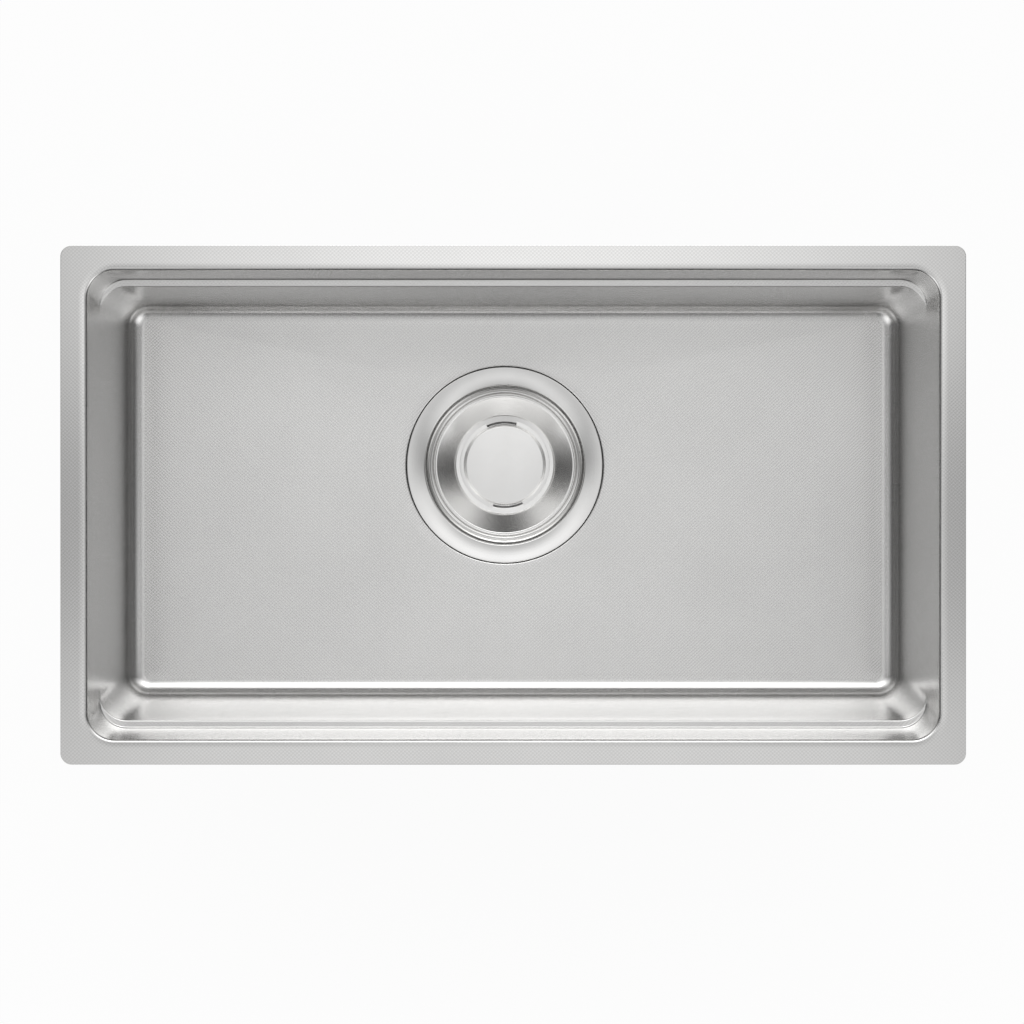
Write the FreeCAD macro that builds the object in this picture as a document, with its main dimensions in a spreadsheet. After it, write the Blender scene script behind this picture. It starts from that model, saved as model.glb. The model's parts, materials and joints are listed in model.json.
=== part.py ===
"""Undermount kitchen sink: a deep drawn steel bowl with a large strainer drain, in millimetres.

The origin is the centre of the rim's top face. +X runs along the rim, +Y points to the back and +Z up.
The drain's pieces are turned about their own Z axis and placed under the drain's centre.
"""

import FreeCAD, Part
import math
import os

import Sketcher

# Driving dimensions: word, value, meaning.
DIMENSIONS = [
    # bowl
    ("rim_beside", 24, "flat rim beyond the inside of the left and right walls"),
    ("rim_along", 22.5, "flat rim beyond the inside of the back and front walls"),
    ("rim_corner", 10, "outer corner radius of the rim"),
    ("bowl_length", 772, "inside at the top, left to right"),
    ("bowl_width", 425, "inside at the top, front to back"),
    ("bowl_corner", 25, "inside corner radius of the upright walls"),
    ("floor_corner", 21, "inside corner radius of the walls at the floor"),
    ("steel_gauge", 1, "sheet of the bowl"),
    ("mouth_bend", 3, "inside radius of the bend from rim to wall"),
    ("side_draft", 1.2, "lean of the left and right walls, degrees"),
    ("long_draft", 3.8, "lean of the back and front walls, degrees"),
    ("ledge_depth", 55, "accessory ledge below the rim"),
    ("ledge_width", 7.2, "tread of the accessory ledge"),
    ("floor_depth", 196.5, "rim to the floor's edge"),
    ("floor_fall", 3.5, "fall of the floor to the drain"),
    ("floor_bend", 15, "inside radius of the bend from wall to floor"),
    # drain in the bowl
    ("drain_right", -8.5, "drain's centre from the middle, to the right"),
    ("drain_back", 35, "drain's centre from the middle, to the back"),
    ("recess_land", 8.5, "recess beyond its hole"),
    ("recess_drop", 5, "depth of the recess"),
    ("hole_radius", 90, "hole in the recess"),
    # clearances and roundings that several pieces share
    ("rest_gap", 0.3, "gap under a piece that lifts off"),
    ("fit_gap", 0.2, "gap beside a piece that is clamped"),
    ("weld_gap", 0.1, "gap at a weld"),
    ("press_round", 0.6, "tight bend of a pressing, inside"),
    ("moulded_round", 1.5, "edges of moulded pieces"),
    ("end_clear", 1, "ribs and lugs short of the ends of their piece"),
    # drain flange
    ("flange_gap", 1.3, "flange inside the recess"),
    ("flange_gauge", 0.8, "sheet of the polished flange"),
    ("flange_top", 0.2, "flange's outer edge below the floor"),
    ("flange_lip", 2, "turned down outer edge"),
    ("flange_round", 0.9, "rounding of the flange's outer edge"),
    ("land_width", 16.7, "sloping land of the flange"),
    ("land_round", 1.6, "rounding from the land into the cove"),
    ("land_step", 0.6, "cove starts inside the land"),
    ("land_fall", 1.6, "fall of the land"),
    ("cove_width", 5.5, "cove from the land to the seat"),
    ("cove_bend", 4, "hollow of the cove"),
    ("cove_shift", 0.48, "outside of the cove's foot beyond its inside"),
    ("land_shift", 0.24, "outside of the cove's head beyond its inside"),
    ("seat_drop", 10, "basket seat below the floor"),
    ("seat_width", 8.4, "basket seat"),
    ("seat_lip", 3, "turned down lip of the seat"),
    ("seat_round", 1.2, "rounding from the seat to its lip"),
    # strainer basket
    ("basket_gauge", 0.7, "sheet of the basket"),
    ("basket_flange", 3.7, "basket's rim beyond its wall"),
    ("basket_gap", 0.6, "basket's wall inside the seat's opening"),
    ("basket_taper", 8, "basket's wall at the bottom inside its rim end"),
    ("basket_depth", 52, "rim to bottom"),
    ("basket_bend", 8, "inside radius at the bottom"),
    ("basket_hole", 3, "radius of a bottom hole"),
    ("hole_ring", 17, "step from one ring of holes to the next"),
    ("basket_slot", 4, "width of a side slot"),
    ("slot_length", 20, "length of a side slot"),
    ("slot_count", 20, "side slots"),
    ("handle_wire", 3.5, "diameter of the handle's wire"),
    ("handle_top", 18, "handle's centre line below the basket's rim"),
    ("handle_leg", 21, "length of the handle's legs"),
    ("handle_bend", 8, "bend of the handle"),
    # funnel lid
    ("lid_gauge", 0.8, "sheet of the lid and the cap"),
    ("lid_lap", 0.5, "lid beyond the basket's rim"),
    ("lid_bead", 3, "rolled edge of the lid"),
    ("bead_top", 2.25, "rolled edge, width on top"),
    ("bead_round", 1.3, "rounding of the rolled edge"),
    ("lip_round", 0.8, "rounding from the funnel to the step"),
    ("lip_shift", 0.24, "underside of the step beyond its top"),
    ("throat_round", 0.9, "rounding from the shelf to the throat"),
    ("lid_slope", 35, "slope of the funnel, degrees"),
    ("funnel_run", 17.95, "funnel from the rolled edge to its step, level"),
    ("lip_drop", 2.2, "step from the funnel down to the shelf"),
    ("shelf_width", 6.8, "shelf under the cap, from the step to the opening"),
    ("throat_lip", 3, "turned down edge of the opening"),
    # centre cap
    ("cap_lean", 1.8, "lean of the cap's side wall"),
    ("brim_width", 4.3, "brim beyond the cap's side wall"),
    ("cap_rise", 6, "disc above the brim"),
    ("cap_round", 1.5, "rounding of the disc's edge"),
    ("brim_round", 0.3, "rounding of the brim's edge"),
    ("brim_lap", 2.1, "brim on the shelf beyond the opening"),
    ("notch_start", 0.3, "notches outside the cap's side wall"),
    ("notch_angle", 41, "each brim notch, degrees"),
    ("notch_turn", 4.4, "notches off the middle, degrees"),
    # drain cup
    ("gasket_gauge", 1.2, "rubber between recess and cup"),
    ("neck_gap", 1.5, "threaded neck inside the hole of the recess"),
    ("neck_wall", 4.5, "wall of the neck"),
    ("neck_round", 3, "rounding from the neck to the shoulder"),
    ("shoulder_round", 4, "rounding from the shoulder to the cup"),
    ("cup_round", 6, "rounding from the cup to its floor, inside"),
    ("cup_wall", 2.8, "wall of the cup"),
    ("neck_length", 40, "neck below the recess"),
    ("shoulder_drop", 12, "shoulder below the neck"),
    ("shoulder_step", 8.5, "cup below the shoulder inside the neck"),
    ("cup_taper", 5, "cup at its floor inside the shoulder"),
    ("cup_depth", 106, "drain's edge to the inside of the cup's floor"),
    ("pipe_radius", 24, "standpipe and outlet stub, outside"),
    ("pipe_bore", 20.5, "standpipe and outlet stub, inside"),
    ("standpipe_rise", 24, "standpipe above the cup's floor"),
    ("pipe_flange", 28.5, "standpipe's flange, welded to the cup's floor"),
    ("pipe_flange_gauge", 2, "thickness of that flange"),
    ("stub_length", 24, "outlet stub below the cup's floor"),
    ("rib_count", 8, "ribs round the cup"),
    ("rib_gauge", 2.5, "thickness of a rib"),
    ("rib_foot", 10, "ribs above the cup's underside"),
    ("rib_reach", 2, "ribs beyond the cup at their foot"),
    ("rib_inset", 1, "ribs inside the neck at their top"),
    ("port_radius", 16.6, "side port, outside"),
    ("port_bore", 13, "side port, inside"),
    ("port_drop", 72, "side port's axis below the drain's edge"),
    ("port_length", 28, "side port beyond the cup's shoulder"),
    ("port_inset", 1.4, "start of the side port inside the cup's foot"),
    # clamping rings
    ("washer_width", 8, "rubber and slip ring beyond the hole"),
    ("washer_gauge", 2.5, "rubber under the bowl"),
    ("slip_gauge", 1, "slip ring"),
    ("nut_wall", 8.3, "wall of the ring nut"),
    ("lug_reach", 5, "lugs beyond the ring nut"),
    ("nut_height", 17, "ring nut"),
    ("nut_round", 2, "outer edge of the ring nut"),
    ("lug_count", 12, "lugs"),
    ("lug_angle", 11, "each lug, degrees"),
    # trap bell
    ("bell_radius", 34, "outside of the bell"),
    ("bell_wall", 2.2, "wall of the bell"),
    ("bell_rise", 38, "top of the bell above the cup's floor"),
    ("bell_lift", 8, "skirt's edge above the cup's floor"),
    ("bell_crown", 7, "rounding of the bell's top"),
    ("grip_height", 3, "grip on the bell"),
    ("grip_gauge", 4, "thickness of the grip"),
    ("lock_reach", 4.5, "lock lugs beyond the skirt"),
    ("lock_gauge", 3, "height of a lock lug"),
    ("lock_angle", 20, "each lock lug, degrees"),
    ("hook_gap", 0.5, "room over and under a lock lug"),
    ("hook_wall", 2.5, "wall of a hook"),
    # outlet
    ("tail_radius", 20, "waste tail, outside"),
    ("tail_wall", 2, "wall of the tail"),
    ("tail_length", 42, "tail below its flange"),
    ("tail_flange", 23.4, "flange of the tail"),
    ("tail_collar", 0.8, "collar inside the nut, beyond the tail"),
    ("collar_clear", 0.5, "collar below the nut"),
    ("tail_flange_gauge", 3, "thickness of the tail's flange"),
    ("outlet_washer_gauge", 2, "rubber in the outlet joint"),
    ("outlet_nut_radius", 29.5, "union nut"),
    ("outlet_nut_grip", 17, "nut round the stub"),
    ("outlet_nut_floor", 3.5, "nut below the tail's flange"),
    ("outlet_nut_ribs", 10, "ribs round the union nut"),
    ("outlet_rib_reach", 1.5, "ribs beyond the nut"),
    ("outlet_rib_angle", 10, "each rib, degrees"),
    # side port's cap
    ("port_cap_radius", 20.5, "screw cap"),
    ("port_cap_grip", 11, "cap round the port"),
    ("port_cap_end", 3, "end wall of the cap"),
    ("port_washer_gauge", 2, "rubber disc in the cap"),
    ("port_washer_inset", 0.4, "rubber disc inside the port's edge"),
    ("port_cap_ribs", 8, "ribs round the cap"),
    ("port_rib_reach", 1.2, "ribs beyond the cap"),
    ("port_rib_angle", 14, "each rib, degrees"),
    # sound deadening pads
    ("pad_gauge", 3, "all pads"),
    ("glue_gap", 0.1, "glue between the bowl and a pad"),
    ("pad_margin", 28, "floor pads from the walls"),
    ("pad_clear", 24, "floor pads from the recess"),
    ("pad_corner", 12, "corners of the floor pads"),
    ("wall_pad_top", 78, "wall pads below the rim, top edge"),
    ("wall_pad_foot", 168, "wall pads below the rim, bottom edge"),
    ("long_pad_inset", 106, "back and front wall pads from the bowl's ends"),
    ("side_pad_inset", 82.5, "left and right wall pads from the bowl's back and front"),
]

ARC_STEP = 10  # half of the corner arcs' span in the divided circle, degrees
SLOT_END = 0.499  # rounding of a slot's end, in slot widths: a half circle but for a hair
LEVEL = 1e-4  # how closely an edge must lie at a height to count as level there


class Size:
    """A number and the sheet expression that gives it, so that sums keep both."""

    def __init__(self, value, text):
        self.value = value
        self.text = text

    def __add__(self, other):
        other = as_size(other)
        return Size(self.value + other.value, f"({self.text} + {other.text})")

    __radd__ = __add__

    def __sub__(self, other):
        other = as_size(other)
        return Size(self.value - other.value, f"({self.text} - {other.text})")

    def __rsub__(self, other):
        return as_size(other) - self

    def __mul__(self, other):
        other = as_size(other)
        return Size(self.value * other.value, f"({self.text} * {other.text})")

    __rmul__ = __mul__

    def __truediv__(self, other):
        other = as_size(other)
        return Size(self.value / other.value, f"({self.text} / {other.text})")

    def __rtruediv__(self, other):
        return as_size(other) / self

    def __neg__(self):
        return Size(-self.value, f"(0 - {self.text})")


def as_size(thing):
    if isinstance(thing, Size):
        return thing
    return Size(float(thing), f"{float(thing):.6f}")


def sine(degrees):
    degrees = as_size(degrees)
    return Size(math.sin(math.radians(degrees.value)), f"sin({degrees.text} * 1 deg)")


def cosine(degrees):
    degrees = as_size(degrees)
    return Size(math.cos(math.radians(degrees.value)), f"cos({degrees.text} * 1 deg)")


def tangent(degrees):
    degrees = as_size(degrees)
    return Size(math.tan(math.radians(degrees.value)), f"tan({degrees.text} * 1 deg)")


class Sizes:
    """Reads the sheet: each word is an attribute that holds a Size."""

    def __init__(self, sheet):
        for word, _, _ in DIMENSIONS:
            setattr(self, word, Size(float(sheet.get(word)), f"Sizes.{word}"))


doc = FreeCAD.newDocument("Sink")
sheet = doc.addObject("Spreadsheet::Sheet", "Sizes")
for row, (word, value, meaning) in enumerate(DIMENSIONS, start=1):
    sheet.set(f"A{row}", meaning)
    sheet.set(f"B{row}", str(value))
    sheet.setAlias(f"B{row}", word)
doc.recompute()
s = Sizes(sheet)

# Radii of the drain, each from the piece that it seats on, laps or passes through.
recess_radius = s.hole_radius + s.recess_land
flange_radius = recess_radius - s.flange_gap
land_radius = flange_radius - s.land_width
cove_radius = land_radius - s.cove_width
seat_bore = cove_radius - s.seat_width
basket_mouth = seat_bore - s.basket_gap
basket_rim = basket_mouth + s.basket_flange
basket_foot = basket_mouth - s.basket_taper
lid_radius = basket_rim + s.lid_lap
funnel_start = lid_radius - s.bead_top
lip_radius = funnel_start - s.funnel_run
throat_radius = lip_radius - s.shelf_width
brim_radius = throat_radius + s.brim_lap
cap_foot = brim_radius - s.brim_width
cap_radius = cap_foot - s.cap_lean
neck_radius = s.hole_radius - s.neck_gap
neck_clear = neck_radius + s.fit_gap
washer_radius = s.hole_radius + s.washer_width
nut_radius = neck_clear + s.nut_wall
nut_lug = nut_radius + s.lug_reach
cup_radius = neck_radius - s.shoulder_step
cup_foot = cup_radius - s.cup_taper
port_start = cup_foot - s.port_inset
port_reach = cup_radius + s.port_length

# Heights that several pieces share.
floor_edge = -s.floor_depth
drain_edge = floor_edge - s.floor_fall
recess_floor = drain_edge - s.recess_drop
recess_under = recess_floor - s.steel_gauge
ledge_top = -s.ledge_depth
seat_top = drain_edge - s.seat_drop
basket_rim_under = seat_top + s.rest_gap
basket_rim_top = basket_rim_under + s.basket_gauge
basket_bottom = basket_rim_top - s.basket_depth
lid_under = basket_rim_top + s.rest_gap
lid_top = lid_under + s.lid_bead
lip_top = lid_top - (funnel_start - lip_radius) * tangent(s.lid_slope)
shelf_top = lip_top - s.lip_drop
cap_under = shelf_top + s.rest_gap
brim_top = cap_under + s.lid_gauge
cap_top = brim_top + s.cap_rise
cup_floor = drain_edge - s.cup_depth
cup_floor_under = cup_floor - s.cup_wall
stub_end = cup_floor - s.stub_length
tail_top = stub_end - s.outlet_washer_gauge
cup_flange_under = recess_floor + s.gasket_gauge
neck_end = recess_floor - s.neck_length
shoulder_end = neck_end - s.shoulder_drop
washer_under = recess_under - s.washer_gauge
slip_under = washer_under - s.slip_gauge
port_axis = drain_edge - s.port_drop

# Half sizes of the bowl's inside, which lean inwards with depth.
half_length = s.bowl_length / 2
half_width = s.bowl_width / 2
side_lean = tangent(s.side_draft)
long_lean = tangent(s.long_draft)
floor_half_length = half_length - s.floor_depth * side_lean
floor_half_width = half_width - s.floor_depth * long_lean - s.ledge_width


def new_body(label, at_drain=False):
    body = doc.addObject("PartDesign::Body", label)
    body.Label = label
    if at_drain:
        body.setExpression("Placement.Base.x", s.drain_right.text)
        body.setExpression("Placement.Base.y", s.drain_back.text)
    return body


def turn_about_axis(body, degrees):
    """Turns a whole piece about its own Z axis."""
    body.Placement.Rotation = FreeCAD.Rotation(FreeCAD.Vector(0, 0, 1), degrees.value)
    body.setExpression("Placement.Rotation.Angle", f"{degrees.text} * 1 deg")


def origin_feature(body, role):
    return next(f for f in body.Origin.OriginFeatures if f.Role == role)


def new_sketch(body, name, role, height=None):
    """A sketch on one of the body's origin planes, moved along its normal."""
    sketch = body.newObject("Sketcher::SketchObject", name)
    sketch.AttachmentSupport = [(origin_feature(body, role), "")]
    sketch.MapMode = "FlatFace"
    if height is not None:
        sketch.setExpression("AttachmentOffset.Base.z", height.text)
    return sketch


def fix_point(sketch, geometry, end, x, y):
    """Ties a point of the sketch to the sheet."""
    index = sketch.addConstraint(Sketcher.Constraint("DistanceX", -1, 1, geometry, end, x.value))
    sketch.setExpression(f"Constraints[{index}]", x.text)
    index = sketch.addConstraint(Sketcher.Constraint("DistanceY", -1, 1, geometry, end, y.value))
    sketch.setExpression(f"Constraints[{index}]", y.text)


def fix_radius(sketch, geometry, radius):
    index = sketch.addConstraint(Sketcher.Constraint("Radius", geometry, radius.value))
    sketch.setExpression(f"Constraints[{index}]", radius.text)


def corner_arc(before, corner, after, radius):
    """The arc that rounds a corner: its two ends in order and the arc itself."""
    towards = (before - corner).normalize()
    onwards = (after - corner).normalize()
    half = towards.getAngle(onwards) / 2
    start = corner + towards * (radius / math.tan(half))
    end = corner + onwards * (radius / math.tan(half))
    centre = corner + (towards + onwards).normalize() * (radius / math.sin(half))
    middle = centre + (corner - centre).normalize() * radius
    return start, end, Part.Arc(start, middle, end)


def join_by_arc(sketch, before, arc, after, arrival, corner):
    """Joins two sides by an arc; the corner they would meet in is tied to the sheet."""
    at_start = (sketch.getPoint(arc, 1) - arrival).Length < LEVEL
    first, last = (1, 2) if at_start else (2, 1)
    place = FreeCAD.Vector(corner[0].value, corner[1].value, 0)
    mark = sketch.addGeometry(Part.Point(place), True)
    sketch.addConstraint(Sketcher.Constraint("Tangent", before, 2, arc, first))
    sketch.addConstraint(Sketcher.Constraint("Tangent", arc, last, after, 1))
    sketch.addConstraint(Sketcher.Constraint("PointOnObject", mark, 1, before))
    sketch.addConstraint(Sketcher.Constraint("PointOnObject", mark, 1, after))
    fix_point(sketch, mark, 1, corner[0], corner[1])
    fix_radius(sketch, arc, corner[2])


def straight_sides(corners, closed):
    """The sides' ends and the corner arcs of an outline or an open route."""
    points = [FreeCAD.Vector(corner[0].value, corner[1].value, 0) for corner in corners]
    count = len(points)
    leaving = list(points)
    arriving = list(points)
    arcs = {}
    for i, corner in enumerate(corners):
        if len(corner) == 3:
            start, end, arc = corner_arc(points[i - 1], points[i], points[(i + 1) % count], corner[2].value)
            arriving[i] = start
            leaving[i] = end
            arcs[i] = arc
    side_count = count if closed else count - 1
    lines = [Part.LineSegment(leaving[i], arriving[(i + 1) % count]) for i in range(side_count)]
    return lines, arcs, arriving


def outline(sketch, corners):
    """A closed outline of straight sides. Each corner is (x, y) or (x, y, radius of its rounding)."""
    corners = [[as_size(number) for number in corner] for corner in corners]
    lines, arcs, arriving = straight_sides(corners, closed=True)
    sides = [sketch.addGeometry(line, False) for line in lines]
    for i, corner in enumerate(corners):
        before = sides[i - 1]
        after = sides[i]
        if i in arcs:
            arc = sketch.addGeometry(arcs[i], False)
            join_by_arc(sketch, before, arc, after, arriving[i], corner)
        else:
            sketch.addConstraint(Sketcher.Constraint("Coincident", before, 2, after, 1))
            fix_point(sketch, after, 1, corner[0], corner[1])


def open_route(sketch, corners):
    """An open line between two bare ends, with every corner between them rounded."""
    corners = [[as_size(number) for number in corner] for corner in corners]
    lines, arcs, arriving = straight_sides(corners, closed=False)
    sides = [sketch.addGeometry(lines[0], False)]
    joints = {}
    for i, line in enumerate(lines[1:], start=1):
        joints[i] = sketch.addGeometry(arcs[i], False)
        sides.append(sketch.addGeometry(line, False))
    fix_point(sketch, sides[0], 1, corners[0][0], corners[0][1])
    fix_point(sketch, sides[-1], 2, corners[-1][0], corners[-1][1])
    for i, arc in joints.items():
        join_by_arc(sketch, sides[i - 1], arc, sides[i], arriving[i], corners[i])


def circle(sketch, x, y, radius):
    x, y, radius = as_size(x), as_size(y), as_size(radius)
    place = FreeCAD.Vector(x.value, y.value, 0)
    index = sketch.addGeometry(Part.Circle(place, FreeCAD.Vector(0, 0, 1), radius.value), False)
    fix_point(sketch, index, 3, x, y)
    fix_radius(sketch, index, radius)


def rounded_rectangle(sketch, left, right, front, back, radius):
    outline(
        sketch,
        [
            (right, front, radius),
            (right, back, radius),
            (left, back, radius),
            (left, front, radius),
        ],
    )


def divided_circle(sketch, x, y, radius):
    """A circle in eight arcs, four long and four short, to match a rounded rectangle's edges."""
    turns = []
    for corner in (-45, 45, 135, 225):
        turns += [corner - ARC_STEP, corner + ARC_STEP]
    places = [(x + radius * cosine(turn), y + radius * sine(turn)) for turn in turns]
    centre = FreeCAD.Vector(x.value, y.value, 0)
    arcs = []
    for i, turn in enumerate(turns):
        last = turns[i + 1] if i + 1 < len(turns) else turns[0] + 360
        whole = Part.Circle(centre, FreeCAD.Vector(0, 0, 1), radius.value)
        arc = Part.ArcOfCircle(whole, math.radians(turn), math.radians(last))
        arcs.append(sketch.addGeometry(arc, False))
    for i, arc in enumerate(arcs):
        sketch.addConstraint(Sketcher.Constraint("Coincident", arcs[i - 1], 2, arc, 1))
        fix_point(sketch, arc, 1, *places[i])
        fix_radius(sketch, arc, radius)


def extrude(body, name, sketch, length, kind="Pad", down=False, middle=False):
    feature = body.newObject(f"PartDesign::{kind}", name)
    feature.Profile = sketch
    feature.setExpression("Length", as_size(length).text)
    feature.Reversed = down
    feature.Midplane = middle
    return feature


def turned(body, name, corners, role="XZ_Plane", angle=None, kind="Revolution"):
    """Turns an outline of (radius, height) corners about Z, all the way round or over an angle."""
    sketch = new_sketch(body, f"{name}_outline", role)
    outline(sketch, corners)
    feature = body.newObject(f"PartDesign::{kind}", name)
    feature.Profile = sketch
    feature.ReferenceAxis = (sketch, ["V_Axis"])
    if angle is None:
        feature.Angle = 360
    else:
        feature.Midplane = True
        feature.setExpression("Angle", as_size(angle).text)
    return feature


def around(body, name, features, count):
    """Copies features evenly round the body's Z axis."""
    pattern = body.newObject("PartDesign::PolarPattern", name)
    pattern.Originals = features
    pattern.Axis = (origin_feature(body, "Z_Axis"), [""])
    pattern.Angle = 360
    pattern.setExpression("Occurrences", as_size(count).text)
    body.Tip = pattern
    return pattern


def loft(body, name, upper, lower, kind="AdditiveLoft"):
    feature = body.newObject(f"PartDesign::{kind}", name)
    feature.Profile = upper
    feature.Sections = [lower]
    feature.Ruled = True
    return feature


def round_edges(body, name, radius, chosen):
    """Fillets the edges of the body's last feature that chosen picks."""
    doc.recompute()
    base = body.Tip
    names = [f"Edge{i}" for i, edge in enumerate(base.Shape.Edges, start=1) if chosen(edge)]
    fillet = body.newObject("PartDesign::Fillet", name)
    fillet.Base = (base, names)
    fillet.setExpression("Radius", as_size(radius).text)
    return fillet


def at_height(height):
    """Picks edges that lie level at a height."""

    def chosen(edge):
        box = edge.BoundBox
        return abs(box.ZMin - height.value) < LEVEL and abs(box.ZMax - height.value) < LEVEL

    return chosen


def at_mouth(edge):
    """Picks the edges where the rim meets the bowl's inside."""
    middle = edge.CenterOfMass
    inside = abs(middle.x) < half_length.value + LEVEL and abs(middle.y) < half_width.value + LEVEL
    return inside and at_height(as_size(0))(edge)


def bowl_section(body, name, height, corner, tread=as_size(0), offset=as_size(0)):
    """The bowl's outline at a height: tread is the ledge already stepped in, offset the sheet outside."""
    across = half_length + height * side_lean + offset
    along = half_width + height * long_lean - tread + offset
    sketch = new_sketch(body, name, "XY_Plane", height)
    rounded_rectangle(sketch, -across, across, -along, along, corner + offset)
    return sketch


def flat_floor(body, name, height):
    """The floor's outline inside the bends, at a height."""
    sketch = new_sketch(body, name, "XY_Plane", height)
    across = floor_half_length - s.floor_bend
    along = floor_half_width - s.floor_bend
    rounded_rectangle(sketch, -across, across, -along, along, s.floor_corner - s.floor_bend)
    return sketch


def floor_pan(body, name, ring_radius, drop, kind):
    """The floor's fall, from its straight outline down to a ring round the recess."""
    upper = flat_floor(body, f"{name}_edge", floor_edge - drop)
    lower = new_sketch(body, f"{name}_ring", "XY_Plane", drain_edge - drop)
    divided_circle(lower, s.drain_right, s.drain_back, ring_radius)
    return loft(body, name, upper, lower, kind)


def draw_bowl():
    """The bowl: rim, two leaning wall sections with the ledge between, falling floor and drain recess."""
    body = new_body("bowl")
    gauge = s.steel_gauge
    rim = new_sketch(body, "rim_outline", "XY_Plane")
    across = half_length + s.rim_beside
    along = half_width + s.rim_along
    rounded_rectangle(rim, -across, across, -along, along, s.rim_corner)
    extrude(body, "rim", rim, gauge, down=True)

    rim_top = as_size(0)
    ledge_under = ledge_top - gauge
    floor_under = floor_edge - gauge
    loft(
        body,
        "upper_shell",
        bowl_section(body, "upper_shell_top", -gauge / 2, s.bowl_corner, offset=gauge),
        bowl_section(body, "upper_shell_foot", ledge_under, s.bowl_corner, offset=gauge),
    )
    loft(
        body,
        "lower_shell",
        bowl_section(body, "lower_shell_top", ledge_under, s.bowl_corner, s.ledge_width, gauge),
        bowl_section(body, "lower_shell_foot", floor_under, s.floor_corner, s.ledge_width, gauge),
    )
    loft(
        body,
        "upper_hollow",
        bowl_section(body, "upper_hollow_top", rim_top, s.bowl_corner),
        bowl_section(body, "upper_hollow_foot", ledge_top, s.bowl_corner),
        "SubtractiveLoft",
    )
    loft(
        body,
        "lower_hollow",
        bowl_section(body, "lower_hollow_top", ledge_top, s.bowl_corner, s.ledge_width),
        bowl_section(body, "lower_hollow_foot", floor_edge, s.floor_corner, s.ledge_width),
        "SubtractiveLoft",
    )
    round_edges(body, "floor_bend_inside", s.floor_bend, at_height(floor_edge))
    round_edges(body, "floor_bend_outside", s.floor_bend + gauge, at_height(floor_under))
    round_edges(body, "mouth_bend", s.mouth_bend, at_mouth)

    floor_pan(body, "pan_outside", recess_radius + gauge, gauge, "AdditiveLoft")
    recess = new_sketch(body, "recess_outside_outline", "XY_Plane", recess_under)
    circle(recess, s.drain_right, s.drain_back, recess_radius + gauge)
    extrude(body, "recess_outside", recess, s.recess_drop + gauge / 2)
    floor_pan(body, "pan_inside", recess_radius, as_size(0), "SubtractiveLoft")
    hollow = new_sketch(body, "recess_inside_outline", "XY_Plane", recess_floor)
    circle(hollow, s.drain_right, s.drain_back, recess_radius)
    extrude(body, "recess_inside", hollow, s.recess_drop * 2, "Pocket", down=True)
    hole = new_sketch(body, "hole_outline", "XY_Plane", recess_under - gauge)
    circle(hole, s.drain_right, s.drain_back, s.hole_radius)
    extrude(body, "hole", hole, s.recess_drop * 2, "Pocket", down=True)
    return body


def draw_drain_flange():
    """Pressed ring: turned down edge, sloping land, cove, seat and lip, in one gauge."""
    body = new_body("drain_flange", at_drain=True)
    gauge = s.flange_gauge
    outer_top = drain_edge - s.flange_top
    land_end = outer_top - s.land_fall
    corners = [
        (flange_radius, outer_top - s.flange_lip),
        (flange_radius, outer_top, s.flange_round),
        (land_radius - s.land_step, land_end, s.land_round),
        (cove_radius, seat_top, s.cove_bend),
        (seat_bore, seat_top, s.seat_round),
        (seat_bore, seat_top - s.seat_lip),
        (seat_bore + gauge, seat_top - s.seat_lip),
        (seat_bore + gauge, seat_top - gauge, s.seat_round - gauge),
        (cove_radius + s.cove_shift, seat_top - gauge, s.cove_bend + gauge),
        (land_radius + s.land_shift, land_end - gauge, s.land_round - gauge),
        (flange_radius - gauge, outer_top - gauge),
        (flange_radius - gauge, outer_top - s.flange_lip),
    ]
    turned(body, "pressing", corners)
    return body


def ring(label, inner, outer, low, high):
    """A flat ring between two heights."""
    body = new_body(label, at_drain=True)
    turned(body, "band", [(inner, low), (outer, low), (outer, high), (inner, high)])
    return body


def draw_basket():
    """Strainer: rim, tapered wall with slots, flat bottom with rings of holes."""
    body = new_body("basket", at_drain=True)
    gauge = s.basket_gauge
    mouth_inside = basket_mouth - gauge
    foot_inside = basket_foot - gauge
    corners = [
        (0, basket_bottom),
        (basket_foot, basket_bottom, s.basket_bend + gauge),
        (basket_mouth, basket_rim_under, s.press_round),
        (basket_rim, basket_rim_under),
        (basket_rim, basket_rim_top),
        (mouth_inside, basket_rim_top, s.press_round + gauge),
        (foot_inside, basket_bottom + gauge, s.basket_bend),
        (0, basket_bottom + gauge),
    ]
    turned(body, "drawn_cup", corners)
    middle = new_sketch(body, "middle_hole_outline", "XY_Plane", basket_bottom - gauge)
    circle(middle, 0, 0, s.basket_hole)
    extrude(body, "middle_hole", middle, 3 * gauge, "Pocket", down=True)
    holes_in_first_ring = 6
    for step in (1, 2):
        hole = new_sketch(body, f"ring_{step}_outline", "XY_Plane", basket_bottom - gauge)
        circle(hole, step * s.hole_ring, 0, s.basket_hole)
        cut = extrude(body, f"ring_{step}_hole", hole, 3 * gauge, "Pocket", down=True)
        around(body, f"ring_{step}_holes", [cut], holes_in_first_ring * step)
    slot = new_sketch(body, "slot_outline", "YZ_Plane", basket_foot - 2 * s.basket_bend)
    middle_height = (basket_bottom + basket_rim_top) / 2
    half = s.slot_length / 2
    end_radius = SLOT_END * s.basket_slot
    rounded_rectangle(
        slot, -s.basket_slot / 2, s.basket_slot / 2, middle_height - half, middle_height + half, end_radius
    )
    cut = extrude(body, "slot", slot, 4 * s.basket_bend, "Pocket", down=True)
    around(body, "slots", [cut], s.slot_count)
    return body


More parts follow.
